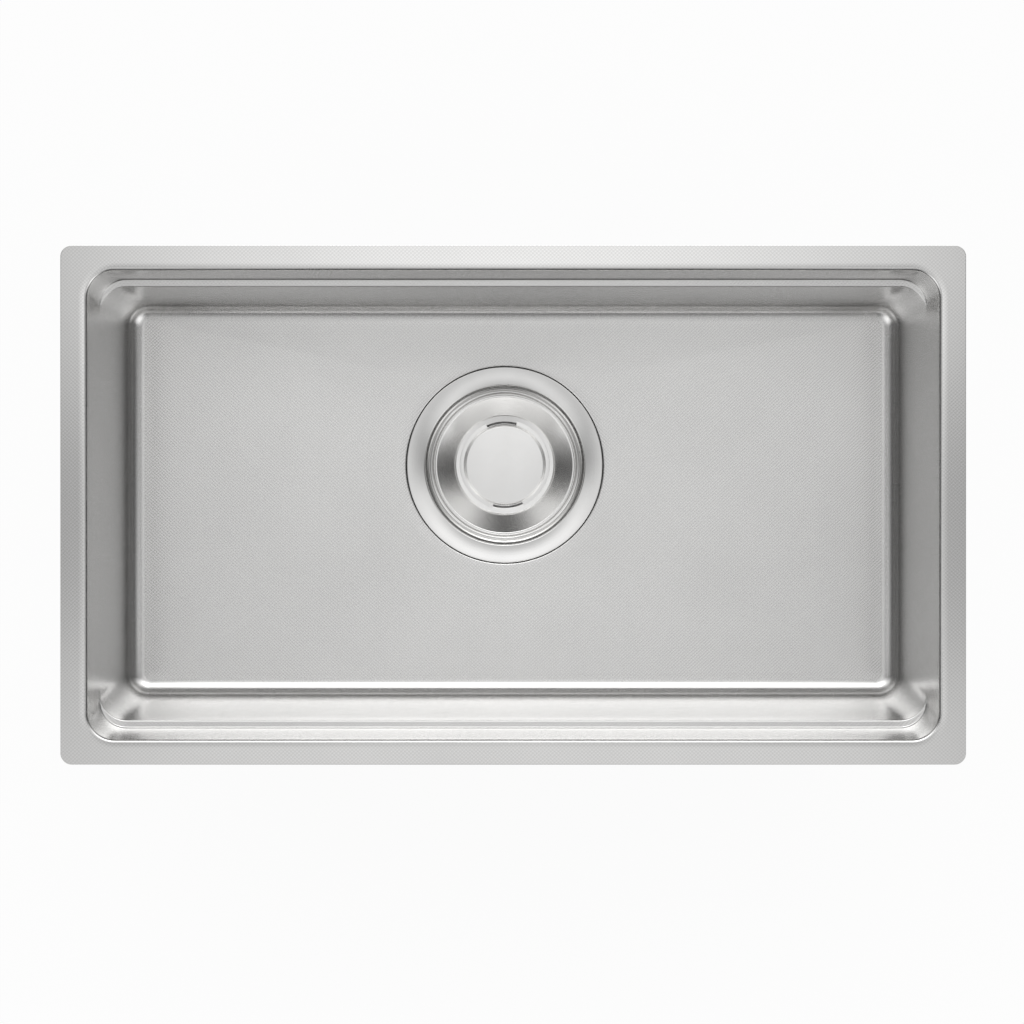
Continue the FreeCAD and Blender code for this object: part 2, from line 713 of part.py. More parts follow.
def draw_basket_handle():
    """Bent wire across the basket: two legs along the wall, between slots, and a bar between them."""
    body = new_body("basket_handle", at_drain=True)
    turn_about_axis(body, 180 / s.slot_count)
    lean = (basket_mouth - basket_foot) / s.basket_depth
    top = basket_rim_top - s.handle_top
    foot = top - s.handle_leg
    from_wall = s.basket_gauge + s.handle_wire / 2 + s.weld_gap
    reach_top = basket_mouth - s.handle_top * lean - from_wall
    reach_foot = basket_mouth - (s.handle_top + s.handle_leg) * lean - from_wall
    path = new_sketch(body, "route", "XZ_Plane")
    open_route(
        path,
        [
            (reach_foot, foot),
            (reach_top, top, s.handle_bend),
            (-reach_top, top, s.handle_bend),
            (-reach_foot, foot),
        ],
    )
    section = new_sketch(body, "wire_section", "XY_Plane", foot)
    circle(section, reach_foot, 0, s.handle_wire / 2)
    pipe = body.newObject("PartDesign::AdditivePipe", "wire")
    pipe.Profile = section
    pipe.Spine = path
    pipe.Transition = "Transformed"
    return body


def draw_funnel_lid():
    """Funnel with a rolled edge, a step down to a shelf and a turned down throat."""
    body = new_body("funnel_lid", at_drain=True)
    gauge = s.lid_gauge
    upright = gauge / cosine(s.lid_slope)
    bead_inside = lid_radius - s.lid_bead
    bead_under = lid_top - (funnel_start - bead_inside) * tangent(s.lid_slope) - upright
    step_radius = lip_radius - gauge
    step_under = lid_top - (funnel_start - lip_radius) * tangent(s.lid_slope) - upright
    corners = [
        (bead_inside, lid_under, s.press_round),
        (lid_radius, lid_under, s.bead_round),
        (lid_radius, lid_top, s.bead_round),
        (funnel_start, lid_top, s.bead_round),
        (lip_radius, lip_top, s.lip_round),
        (step_radius, shelf_top, s.press_round),
        (throat_radius, shelf_top, s.throat_round),
        (throat_radius, shelf_top - s.throat_lip),
        (throat_radius + gauge, shelf_top - s.throat_lip),
        (throat_radius + gauge, shelf_top - gauge),
        (lip_radius, shelf_top - gauge),
        (lip_radius + s.lip_shift, step_under),
        (bead_inside, bead_under),
    ]
    turned(body, "pressing", corners)
    return body


def draw_centre_cap():
    """Raised disc with a brim that rests on the shelf, and a notch in the brim at the back and front."""
    body = new_body("centre_cap", at_drain=True)
    turn_about_axis(body, s.notch_turn)
    gauge = s.lid_gauge
    corners = [
        (0, cap_top),
        (cap_radius, cap_top, s.cap_round),
        (cap_foot, brim_top, s.press_round),
        (brim_radius, brim_top, s.brim_round),
        (brim_radius, cap_under),
        (cap_foot - gauge, cap_under),
        (cap_radius - gauge, cap_top - gauge, s.cap_round - gauge),
        (0, cap_top - gauge),
    ]
    turned(body, "pressing", corners)
    notch_start = cap_foot + s.notch_start
    past_brim = brim_radius + gauge
    corners = [
        (notch_start, cap_under - gauge),
        (past_brim, cap_under - gauge),
        (past_brim, brim_top + gauge),
        (notch_start, brim_top + gauge),
    ]
    notch = turned(body, "notch", corners, "YZ_Plane", s.notch_angle, "Groove")
    around(body, "notches", [notch], 2)
    return body


def draw_drain_cup():
    """Moulded cup: flange, neck, shoulder, ribbed wall, holes for its two pipes, and hooks."""
    body = new_body("drain_cup", at_drain=True)
    wall = s.cup_wall
    neck_inside = neck_radius - s.neck_wall
    flange_outer = flange_radius - s.flange_gauge - s.fit_gap
    land_lean = s.land_fall / (flange_radius - land_radius)
    under_land = drain_edge - s.flange_top - s.flange_gauge - s.rest_gap
    flange_inner_top = under_land - (flange_radius - neck_inside) * land_lean
    pipe_hole = s.pipe_radius + s.weld_gap
    corners = [
        (pipe_hole, cup_floor_under),
        (cup_foot, cup_floor_under, s.cup_round + wall),
        (cup_radius, shoulder_end, s.shoulder_round),
        (neck_radius, neck_end, s.neck_round),
        (neck_radius, cup_flange_under),
        (flange_outer, cup_flange_under),
        (flange_outer, under_land - (flange_radius - flange_outer) * land_lean),
        (neck_inside, flange_inner_top),
        (neck_inside, neck_end, s.neck_round),
        (cup_radius - wall, shoulder_end, s.shoulder_round),
        (cup_foot - wall, cup_floor, s.cup_round),
        (pipe_hole, cup_floor),
    ]
    turned(body, "moulding", corners)

    rib = new_sketch(body, "rib_outline", "XZ_Plane")
    rib_foot = cup_floor_under + s.rib_foot
    outline(
        rib,
        [
            (cup_foot - wall / 2, rib_foot),
            (cup_foot + s.rib_reach, rib_foot),
            (neck_radius - s.rib_inset, neck_end - s.end_clear),
            (neck_radius - s.neck_wall / 2, neck_end - s.end_clear),
            (cup_radius - wall / 2, shoulder_end),
        ],
    )
    one_rib = extrude(body, "rib", rib, s.rib_gauge, middle=True)
    around(body, "ribs", [one_rib], s.rib_count)
    port = new_sketch(body, "port_hole_outline", "YZ_Plane", cup_radius / 2)
    circle(port, 0, port_axis, s.port_radius + s.weld_gap)
    extrude(body, "port_hole", port, cup_radius, "Pocket", down=True)
    add_lock_hooks(body)
    return body


def draw_standpipe():
    """Pipe welded through the cup's floor: the standpipe above it and the threaded outlet stub below."""
    body = new_body("standpipe", at_drain=True)
    top = cup_floor + s.standpipe_rise
    flange_low = cup_floor + s.weld_gap
    flange_high = flange_low + s.pipe_flange_gauge
    corners = [
        (s.pipe_bore, stub_end),
        (s.pipe_radius, stub_end),
        (s.pipe_radius, flange_low),
        (s.pipe_flange, flange_low),
        (s.pipe_flange, flange_high),
        (s.pipe_radius, flange_high),
        (s.pipe_radius, top, s.press_round),
        (s.pipe_bore, top, s.press_round),
    ]
    turned(body, "moulding", corners)
    return body


def add_lock_hooks(body):
    """Two hooks on the cup's floor that hold the trap bell's lugs down."""
    lock_low = cup_floor + s.bell_lift
    lock_high = lock_low + s.lock_gauge
    lug_reach = s.bell_radius + s.lock_reach
    post_inside = lug_reach + s.hook_gap
    hook_top = lock_high + s.hook_gap + s.hook_wall
    corners = [
        (post_inside, cup_floor - s.cup_wall / 2),
        (post_inside + s.hook_wall, cup_floor - s.cup_wall / 2),
        (post_inside + s.hook_wall, hook_top),
        (s.bell_radius + s.hook_gap, hook_top),
        (s.bell_radius + s.hook_gap, lock_high + s.hook_gap),
        (post_inside, lock_high + s.hook_gap),
    ]
    hook = turned(body, "hook", corners, "XZ_Plane", s.lock_angle)
    around(body, "hooks", [hook], 2)


def draw_ring_nut():
    """Lugged nut under the bowl."""
    body = new_body("ring_nut", at_drain=True)
    nut_under = slip_under - s.nut_height
    turned(
        body,
        "band",
        [
            (neck_clear, nut_under, s.press_round),
            (nut_radius, nut_under, s.nut_round),
            (nut_radius, slip_under),
            (neck_clear, slip_under),
        ],
    )
    corners = [
        (nut_radius - s.nut_round, nut_under + s.end_clear),
        (nut_lug, nut_under + s.end_clear, s.moulded_round),
        (nut_lug, slip_under - s.end_clear, s.moulded_round),
        (nut_radius - s.nut_round, slip_under - s.end_clear),
    ]
    lug = turned(body, "lug", corners, "XZ_Plane", s.lug_angle)
    around(body, "lugs", [lug], s.lug_count)
    return body


def draw_trap_bell():
    """Bell over the standpipe, with a grip on top and two lugs that turn under the cup's hooks."""
    body = new_body("trap_bell", at_drain=True)
    skirt = cup_floor + s.bell_lift
    top = cup_floor + s.bell_rise
    inside = s.bell_radius - s.bell_wall
    corners = [
        (0, top),
        (s.bell_radius, top, s.bell_crown),
        (s.bell_radius, skirt),
        (inside, skirt),
        (inside, top - s.bell_wall, s.bell_crown - s.bell_wall),
        (0, top - s.bell_wall),
    ]
    turned(body, "moulding", corners)
    grip = new_sketch(body, "grip_outline", "XZ_Plane")
    half_grip = s.bell_radius - s.bell_crown
    low = top - s.bell_wall / 2
    outline(
        grip,
        [
            (-half_grip, low),
            (half_grip, low),
            (half_grip, top + s.grip_height, s.moulded_round),
            (-half_grip, top + s.grip_height, s.moulded_round),
        ],
    )
    extrude(body, "grip", grip, s.grip_gauge, middle=True)
    corners = [
        (s.bell_radius - s.bell_wall / 2, skirt),
        (s.bell_radius + s.lock_reach, skirt),
        (s.bell_radius + s.lock_reach, skirt + s.lock_gauge),
        (s.bell_radius - s.bell_wall / 2, skirt + s.lock_gauge),
    ]
    lug = turned(body, "lock_lug", corners, "XZ_Plane", s.lock_angle)
    around(body, "lock_lugs", [lug], 2)
    return body


def draw_outlet_tail():
    """Flanged tube that the waste pipe pushes onto."""
    body = new_body("outlet_tail", at_drain=True)
    bore = s.tail_radius - s.tail_wall
    flange_under = tail_top - s.tail_flange_gauge
    collar_under = flange_under - s.outlet_nut_floor - s.collar_clear
    tail_end = flange_under - s.tail_length
    corners = [
        (bore, tail_end),
        (s.tail_radius, tail_end, s.press_round),
        (s.tail_radius, collar_under),
        (s.tail_radius + s.tail_collar, collar_under),
        (s.tail_radius + s.tail_collar, flange_under),
        (s.tail_flange, flange_under),
        (s.tail_flange, tail_top),
        (bore, tail_top),
    ]
    turned(body, "moulding", corners)
    return body


def draw_outlet_nut():
    """Union nut: grips the stub and carries the tail's flange."""
    body = new_body("outlet_nut", at_drain=True)
    flange_under = tail_top - s.tail_flange_gauge
    low = flange_under - s.outlet_nut_floor
    high = stub_end + s.outlet_nut_grip
    bore = s.pipe_radius + s.fit_gap
    floor_bore = s.tail_radius + s.tail_collar + s.fit_gap
    corners = [
        (floor_bore, low),
        (s.outlet_nut_radius, low, s.moulded_round),
        (s.outlet_nut_radius, high, s.moulded_round),
        (bore, high),
        (bore, flange_under),
        (floor_bore, flange_under),
    ]
    turned(body, "band", corners)
    corners = [
        (s.outlet_nut_radius - s.moulded_round, low + s.moulded_round),
        (s.outlet_nut_radius + s.outlet_rib_reach, low + 2 * s.moulded_round),
        (s.outlet_nut_radius + s.outlet_rib_reach, high - 2 * s.moulded_round),
        (s.outlet_nut_radius - s.moulded_round, high - s.moulded_round),
    ]
    rib = turned(body, "rib", corners, "XZ_Plane", s.outlet_rib_angle)
    around(body, "ribs", [rib], s.outlet_nut_ribs)
    return body


def draw_outlet_washer():
    return ring("outlet_washer", s.pipe_bore, s.tail_flange, tail_top, stub_end)


def port_piece(label):
    """A body whose Z axis is the side port's axis, pointing away from the cup."""
    body = new_body(label, at_drain=True)
    body.Placement.Rotation = FreeCAD.Rotation(FreeCAD.Vector(0, 1, 0), 90)
    body.setExpression("Placement.Base.z", port_axis.text)
    return body


def draw_side_port():
    """Threaded pipe to the right for a second waste hose, welded into the cup's wall."""
    body = port_piece("side_port")
    corners = [
        (s.port_bore, port_start),
        (s.port_radius, port_start),
        (s.port_radius, port_reach),
        (s.port_bore, port_reach),
    ]
    turned(body, "moulding", corners)
    return body


def draw_side_port_washer():
    """Rubber disc between the port's end and its cap."""
    body = port_piece("side_port_washer")
    edge = s.port_radius - s.port_washer_inset
    outer_end = port_reach + s.port_washer_gauge
    turned(body, "disc", [(0, port_reach), (edge, port_reach), (edge, outer_end), (0, outer_end)])
    return body


def draw_side_port_cap():
    """Screw cap that closes the side port."""
    body = port_piece("side_port_cap")
    inner_end = port_reach + s.port_washer_gauge
    low = port_reach - s.port_cap_grip
    high = inner_end + s.port_cap_end
    bore = s.port_radius + s.fit_gap
    corners = [
        (bore, low),
        (s.port_cap_radius, low),
        (s.port_cap_radius, high, s.moulded_round),
        (0, high),
        (0, inner_end),
        (bore, inner_end),
    ]
    turned(body, "moulding", corners)
    corners = [
        (s.port_cap_radius - s.moulded_round, low + s.end_clear),
        (s.port_cap_radius + s.port_rib_reach, low + s.end_clear),
        (s.port_cap_radius + s.port_rib_reach, high - 2 * s.moulded_round),
        (s.port_cap_radius - s.moulded_round, high - s.moulded_round),
    ]
    rib = turned(body, "rib", corners, "XZ_Plane", s.port_rib_angle)
    around(body, "ribs", [rib], s.port_cap_ribs)
    return body


def draw_floor_pad(label, side):
    """A pad that follows the floor's fall: a slab between two pans, cut to its own outline."""
    body = new_body(label)
    edge = floor_half_length - s.pad_margin
    deep = floor_half_width - s.pad_margin
    recess_side = s.drain_right + side * (recess_radius + s.pad_clear)
    if side > 0:
        left, right = recess_side, edge
    else:
        left, right = -edge, recess_side
    above = s.steel_gauge + s.glue_gap
    below = above + s.pad_gauge
    ring_radius = recess_radius + s.steel_gauge
    slab = flat_floor(body, "slab_outline", floor_edge - above)
    extrude(body, "slab", slab, s.pad_gauge, down=True)
    floor_pan(body, "pan_below", ring_radius, below, "AdditiveLoft")
    floor_pan(body, "pan_above", ring_radius, above, "SubtractiveLoft")
    trim = new_sketch(body, "trim_outline", "XY_Plane", drain_edge - below - s.pad_gauge)
    rounded_rectangle(trim, left, right, -deep, deep, s.pad_corner)
    rounded_rectangle(trim, -half_length, half_length, -half_width, half_width, s.pad_corner)
    extrude(body, "trim", trim, s.floor_fall + 4 * s.pad_gauge, "Pocket", down=True)
    return body


def draw_long_pad(label, side):
    """A pad on the back or front wall: a leaning strip, drawn in the YZ plane and padded along X."""
    body = new_body(label)
    top = -s.wall_pad_top
    foot = -s.wall_pad_foot
    outside = half_width - s.ledge_width + s.steel_gauge + s.glue_gap
    lift = s.pad_gauge / cosine(s.long_draft)
    strip = new_sketch(body, "strip_outline", "YZ_Plane")
    corners = []
    for height, out in ((top, 0), (foot, 0), (foot, lift), (top, lift)):
        corners.append((side * (outside + height * long_lean + out), height))
    outline(strip, corners)
    extrude(body, "strip", strip, s.bowl_length - 2 * s.long_pad_inset, middle=True)
    return body


def draw_side_pad(label, side):
    """A pad on the left or right wall."""
    body = new_body(label)
    top = -s.wall_pad_top
    foot = -s.wall_pad_foot
    outside = half_length + s.steel_gauge + s.glue_gap
    lift = s.pad_gauge / cosine(s.side_draft)
    strip = new_sketch(body, "strip_outline", "XZ_Plane")
    corners = []
    for height, out in ((top, 0), (foot, 0), (foot, lift), (top, lift)):
        corners.append((side * (outside + height * side_lean + out), height))
    outline(strip, corners)
    extrude(body, "strip", strip, s.bowl_width - 2 * s.side_pad_inset, middle=True)
    return body



sub_parts = [
    draw_bowl(),
    draw_drain_flange(),
    ring("flange_gasket", neck_clear, flange_radius - s.flange_gauge, recess_floor, cup_flange_under),
    draw_drain_cup(),
    ring("floor_washer", s.hole_radius, washer_radius, washer_under, recess_under),
    ring("friction_ring", neck_clear, washer_radius, slip_under, washer_under),
    draw_ring_nut(),
    draw_basket(),
    draw_basket_handle(),
    draw_funnel_lid(),
    draw_centre_cap(),
    draw_trap_bell(),
    draw_standpipe(),
    draw_outlet_washer(),
    draw_outlet_tail(),
    draw_outlet_nut(),
    draw_side_port(),
    draw_side_port_washer(),
    draw_side_port_cap(),
    draw_floor_pad("pad_floor_left", -1),
    draw_floor_pad("pad_floor_right", 1),
    draw_long_pad("pad_wall_back", 1),
    draw_long_pad("pad_wall_front", -1),
    draw_side_pad("pad_wall_left", -1),
    draw_side_pad("pad_wall_right", 1),
]
doc.recompute()

for item in doc.Objects:
    if "Invalid" in item.State or "Error" in item.State:
        raise RuntimeError(f"{item.Name} ({item.Label}) did not compute: {item.State}")
for piece in sub_parts:
    if piece.Shape.isNull() or not piece.Shape.isValid():
        raise RuntimeError(f"{piece.Label} has no valid shape")

os.makedirs("parts", exist_ok=True)
for piece in sub_parts:
    piece.Shape.exportStep(f"parts/{piece.Label}.step")
    print(f"{piece.Label}: {len(piece.Shape.Solids)} solid, {piece.Shape.Volume / 1000:.1f} cm3")
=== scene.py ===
import json
import math

import bmesh
import bpy
from mathutils import Matrix, Vector


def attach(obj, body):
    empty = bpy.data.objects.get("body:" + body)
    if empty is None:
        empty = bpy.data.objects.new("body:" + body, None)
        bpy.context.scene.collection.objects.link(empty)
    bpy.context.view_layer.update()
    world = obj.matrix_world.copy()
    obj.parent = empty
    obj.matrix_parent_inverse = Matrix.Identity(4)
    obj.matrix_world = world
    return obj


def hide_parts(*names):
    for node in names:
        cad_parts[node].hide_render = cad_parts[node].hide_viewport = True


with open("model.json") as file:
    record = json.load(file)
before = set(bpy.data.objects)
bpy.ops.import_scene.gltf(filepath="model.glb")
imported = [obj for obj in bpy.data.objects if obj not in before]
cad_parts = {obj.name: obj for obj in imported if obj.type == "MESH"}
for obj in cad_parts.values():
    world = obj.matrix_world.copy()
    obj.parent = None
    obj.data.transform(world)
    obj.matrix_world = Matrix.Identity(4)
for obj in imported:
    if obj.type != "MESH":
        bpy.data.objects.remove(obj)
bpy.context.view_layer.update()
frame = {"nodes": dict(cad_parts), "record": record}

MM = 0.001
SEGMENTS = 256

RECORD = frame["record"]
BODY_OF = {node: body for body, nodes in RECORD["behaviour"]["bodies"].items() for node in nodes}

# Sizes in millimetres, the same as the construction model's.
DRAIN_X, DRAIN_Y = -8.5, 35.0
RIM_X, RIM_Y, RIM_CORNER = 410.0, 235.0, 10.0
BOWL_X, BOWL_Y, BOWL_CORNER = 386.0, 212.5, 25.0
GAUGE = 1.0
MOUTH_BEND = 3.0
SIDE_LEAN = math.tan(math.radians(1.2))
LONG_LEAN = math.tan(math.radians(3.8))
LEDGE_Z, LEDGE_WIDTH = -55.0, 7.2
LEDGE_BEND_OUT, LEDGE_BEND_IN = 1.4, 1.4
FLOOR_Z, FLOOR_BEND, FLOOR_CORNER = -196.5, 15.0, 21.0
DRAIN_Z = -200.0
RECESS_R, RECESS_Z, HOLE_R = 98.5, -205.0, 90.0
RECESS_ROUND = 1.3
RIM_INSET = 0.6         # a ring of points this far inside the rim's edge keeps the rim's shading flat
MOUTH_LAND = 8.0        # flat strip of the rim round the bowl's mouth
LEDGE_SPREAD = 1.5      # the ledge's bends spread over this much of the side walls, up and down
UPPER_ROWS = (-15.0, -30.0, -45.0)
LOWER_ROWS = (-75.0, -95.0, -115.0, -135.0, -155.0, -170.0)
FLOOR_ROWS = 28         # rings of the floor between its outline and the recess
FLOOR_EASE = 0.08       # how softly the floor's fall starts


# ---------------------------------------------------------------- nodes

def new_material(name):
    material = bpy.data.materials.new(name)
    material.use_nodes = True
    tree = material.node_tree
    return material, tree, tree.nodes["Principled BSDF"]


def add(tree, kind, operation=None, inputs=(), **settings):
    """A node with its inputs set: a socket is linked, anything else is a value."""
    node = tree.nodes.new(kind)
    if operation is not None:
        node.operation = operation
    for key, value in settings.items():
        setattr(node, key, value)
    for i, value in (inputs.items() if isinstance(inputs, dict) else enumerate(inputs)):
        if isinstance(value, bpy.types.NodeSocket):
            tree.links.new(value, node.inputs[i])
        elif value is not None:
            node.inputs[i].default_value = value
    return node


def maths(tree, operation, *inputs):
    return add(tree, "ShaderNodeMath", operation, inputs).outputs[0]


def paint(tree, shader, factor, low, high, tint, start=0.3, end=0.7):
    """Sets the base colour: a tint that goes from one level to another as the factor rises."""
    node = add(tree, "ShaderNodeValToRGB", inputs=[factor])
    for element, position, level in zip(node.color_ramp.elements, (start, end), (low, high)):
        element.position = position
        element.color = (*(level * part for part in tint), 1)
    tree.links.new(node.outputs[0], shader.inputs["Base Color"])


def noise(tree, vector, scale, detail=3.0, roughness=0.55):
    node = add(tree, "ShaderNodeTexNoise", inputs={
        "Vector": vector, "Scale": scale, "Detail": detail, "Roughness": roughness})
    return node.outputs[0]


def place(tree, scale=(1.0, 1.0, 1.0), centre=(0.0, 0.0, 0.0)):
    """Object coordinates in metres, moved to a centre and stretched."""
    coordinate = tree.nodes.new("ShaderNodeTexCoord").outputs["Object"]
    moved = add(tree, "ShaderNodeVectorMath", "SUBTRACT", [coordinate, centre]).outputs[0]
    return add(tree, "ShaderNodeVectorMath", "MULTIPLY", [moved, scale]).outputs[0]


def spread(tree, factor, low, high, start=0.0, end=1.0):
    node = add(tree, "ShaderNodeMapRange", inputs={
        "Value": factor, "From Min": start, "From Max": end, "To Min": low, "To Max": high})
    return node.outputs[0]


def bump(tree, height, distance, strength=1.0):
    node = add(tree, "ShaderNodeBump", inputs={
        "Height": height, "Distance": distance, "Strength": strength})
    return node.outputs[0]


# ---------------------------------------------------------------- materials

STEEL = (1.0, 0.995, 0.985)
TONE = 0.02             # how far a steel's tone wanders to either side
EMBOSS_X, EMBOSS_Y = 3.56, 3.33         # pitch of the embossed pattern
FLOOR_SLOPE, RIM_SLOPE = 0.055, 0.005   # steepest slope of the pattern on the floor and on the rim
FLOOR_ROUGH, RIM_ROUGH = 0.25, 0.13
GRAIN = 0.02            # how far the roughness wanders to either side


def embossed_steel():
    """Satin steel with staggered rows of small bumps, drawn as slopes so that they hold at any distance."""
    material, tree, shader = new_material("embossed_steel")
    where = add(tree, "ShaderNodeSeparateXYZ", inputs=[place(tree, (1 / MM,) * 3)]).outputs
    along = maths(tree, "MULTIPLY", where[0], 2 * math.pi / EMBOSS_X)
    across = maths(tree, "MULTIPLY", where[1], 2 * math.pi / EMBOSS_Y)
    sin_x, cos_x = maths(tree, "SINE", along), maths(tree, "COSINE", along)
    sin_y, cos_y = maths(tree, "SINE", across), maths(tree, "COSINE", across)
    steep = spread(tree, where[2], RIM_SLOPE, FLOOR_SLOPE, LEDGE_Z / 4, LEDGE_Z)
    slope_x = maths(tree, "MULTIPLY", maths(tree, "MULTIPLY", sin_x, cos_y), steep)
    slope_y = maths(tree, "MULTIPLY", maths(tree, "MULTIPLY", cos_x, sin_y), steep)
    tilt = add(tree, "ShaderNodeCombineXYZ", inputs=[slope_x, slope_y, 0.0]).outputs[0]
    normal = tree.nodes.new("ShaderNodeNewGeometry").outputs["Normal"]
    tilted = add(tree, "ShaderNodeVectorMath", "ADD", [normal, tilt]).outputs[0]
    tilted = add(tree, "ShaderNodeVectorMath", "NORMALIZE", [tilted]).outputs[0]
    tree.links.new(tilted, shader.inputs["Normal"])
    # Painted highlight and painted shade: the bumps' crowns are painted lighter and the hollows between them
    # darker, on top of a random cloudy tone.
    painted_bump_light = maths(tree, "MULTIPLY", cos_x, cos_y)
    cloud = noise(tree, place(tree), 9.0, 4.0)
    tone = maths(tree, "ADD", maths(tree, "MULTIPLY", painted_bump_light, 0.5), cloud)
    paint(tree, shader, tone, 0.68, 0.76, STEEL, 0.1, 0.9)
    fine = noise(tree, place(tree), 900.0, 2.0)
    rough = spread(tree, where[2], RIM_ROUGH, FLOOR_ROUGH, LEDGE_Z / 4, LEDGE_Z)
    rough = maths(tree, "ADD", rough, spread(tree, fine, -GRAIN, GRAIN))
    tree.links.new(rough, shader.inputs["Roughness"])
    shader.inputs["Metallic"].default_value = 1.0
    return material


def satin_steel(name, low, high, colour, fineness, depth=0.000002):
    """Drawn or polished steel: faint fine marks, slight cloudiness."""
    material, tree, shader = new_material(name)
    marks = noise(tree, place(tree, (fineness,) * 3), 3.0, 4.0, 0.6)
    cloud = noise(tree, place(tree), 7.0, 3.0)
    paint(tree, shader, cloud, colour - TONE, colour + TONE, STEEL)
    tree.links.new(spread(tree, marks, low, high), shader.inputs["Roughness"])
    tree.links.new(bump(tree, marks, depth, 0.5), shader.inputs["Normal"])
    shader.inputs["Metallic"].default_value = 1.0
    return material


def turned_steel(name, low, high, colour, depth=0.00001, rings=1600.0, anisotropy=0.0):
    """Steel finished on a lathe: fine rings round the drain's axis."""
    material, tree, shader = new_material(name)
    where = place(tree, centre=(DRAIN_X * MM, DRAIN_Y * MM, 0.0))
    parts = add(tree, "ShaderNodeSeparateXYZ", inputs=[where]).outputs
    flat = add(tree, "ShaderNodeCombineXYZ", inputs=[parts[0], parts[1], 0.0]).outputs[0]
    radius = add(tree, "ShaderNodeVectorMath", "LENGTH", [flat]).outputs["Value"]
    height = maths(tree, "MULTIPLY", parts[2], 0.5)
    ring = add(tree, "ShaderNodeCombineXYZ", inputs=[radius, height, 0.0]).outputs[0]
    marks = noise(tree, ring, rings, 4.0, 0.65)
    cloud = noise(tree, place(tree), 30.0, 3.0)
    paint(tree, shader, cloud, colour - TONE, colour + TONE, STEEL)
    tree.links.new(spread(tree, marks, low, high), shader.inputs["Roughness"])
    tree.links.new(bump(tree, marks, depth, 0.6), shader.inputs["Normal"])
    shader.inputs["Metallic"].default_value = 1.0
    if anisotropy:
        shader.inputs["Anisotropic"].default_value = anisotropy
        tangent = add(tree, "ShaderNodeTangent", direction_type="RADIAL", axis="Z")
        tree.links.new(tangent.outputs[0], shader.inputs["Tangent"])
    return material


def moulded_plastic(name, colour, rough=0.42):
    """Moulded polypropylene: slight mottling and a fine spark-eroded grain."""
    material, tree, shader = new_material(name)
    cloud = noise(tree, place(tree), 40.0, 4.0)
    paint(tree, shader, cloud, 0.93, 1.04, colour)
    grain = noise(tree, place(tree), 2600.0, 2.0)
    tree.links.new(spread(tree, cloud, rough - 0.05, rough + 0.08), shader.inputs["Roughness"])
    tree.links.new(bump(tree, grain, 0.00005, 0.5), shader.inputs["Normal"])
    return material


def rubber(name, colour, grain_scale=1800.0, depth=0.00006):
    material, tree, shader = new_material(name)
    cloud = noise(tree, place(tree), 60.0, 4.0)
    paint(tree, shader, cloud, 0.8, 1.25, colour, 0.25, 0.75)
    grain = noise(tree, place(tree), grain_scale, 3.0)
    tree.links.new(spread(tree, grain, 0.6, 0.85), shader.inputs["Roughness"])
    tree.links.new(bump(tree, grain, depth, 0.7), shader.inputs["Normal"])
    return material


MATERIALS = {
    "emboss": embossed_steel(),
    "wall": satin_steel("satin_steel", 0.25, 0.29, 0.70, 900.0),
    "polished": turned_steel("polished_steel", 0.05, 0.11, 0.74),
    "funnel": turned_steel("funnel_steel", 0.14, 0.18, 0.82, depth=0.000003, anisotropy=0.95),
    "cap": turned_steel("cap_steel", 0.20, 0.28, 0.86, depth=0.000004),
    "basket": turned_steel("basket_steel", 0.16, 0.26, 0.62),
    "wire": satin_steel("wire_steel", 0.14, 0.24, 0.64, 400.0),
    "white": moulded_plastic("white_plastic", (0.78, 0.78, 0.75)),
    "dark": moulded_plastic("grey_plastic", (0.20, 0.205, 0.215)),
    "seal": rubber("seal_rubber", (0.022, 0.022, 0.023)),
    "pad": rubber("pad_rubber", (0.055, 0.056, 0.06), 700.0, 0.00025),
}


# ---------------------------------------------------------------- outlines

def bend(before, corner, after, radius, count):
    """Points of the arc that rounds a corner, from the side before it to the side after it."""
    corner = Vector(corner)
    towards = (Vector(before) - corner).normalized()
    onwards = (Vector(after) - corner).normalized()
    half = towards.angle(onwards) / 2
    centre = corner + (towards + onwards).normalized() * (radius / math.sin(half))
    first = corner + towards * (radius / math.tan(half)) - centre
    last = corner + onwards * (radius / math.tan(half)) - centre
    turn = first.angle_signed(last)
    return [centre + Matrix.Rotation(-turn * i / count, 2) @ first for i in range(count + 1)]


def rounded(corners, closed=True, count=6):
    """A line through corners (x, y) or (x, y, radius) with the given corners rounded."""
    points = []
    total = len(corners)
    for i, corner in enumerate(corners):
        if len(corner) == 2 or (not closed and i in (0, total - 1)):
            points.append(Vector(corner[:2]))
            continue
        before = corners[i - 1][:2]
        after = corners[(i + 1) % total][:2]
        points += bend(before, corner[:2], after, corner[2], count)
    return points


# ---------------------------------------------------------------- meshes

class Shape:
    """Gathers points in millimetres and faces, and becomes one mesh object."""

    def __init__(self):
        self.points = []
        self.faces = []
        self.kinds = []

    def take(self, points, faces, kind=0):
        start = len(self.points)
        self.points += [tuple(point) for point in points]
        self.faces += [[start + i for i in face] for face in faces]
        self.kinds += [kind] * len(faces)

    def object(self, name, materials, sharp=32.0, merge=1e-6):
        mesh = bpy.data.meshes.new(name)
        mesh.from_pydata([[c * MM for c in point] for point in self.points], [], self.faces)
        for material in materials:
            mesh.materials.append(material)
        mesh.polygons.foreach_set("material_index", self.kinds)
        work = bmesh.new()
        work.from_mesh(mesh)
        bmesh.ops.remove_doubles(work, verts=work.verts, dist=merge)
        bmesh.ops.dissolve_degenerate(work, edges=work.edges, dist=merge / 10)
        bmesh.ops.recalc_face_normals(work, faces=work.faces)
        work.to_mesh(mesh)
        work.free()
        smooth(mesh, sharp)
        piece = bpy.data.objects.new(name, mesh)
        bpy.context.scene.collection.objects.link(piece)
        return piece


def smooth(mesh, sharp):
    mesh.polygons.foreach_set("use_smooth", [True] * len(mesh.polygons))
    mesh.set_sharp_from_angle(angle=math.radians(sharp))


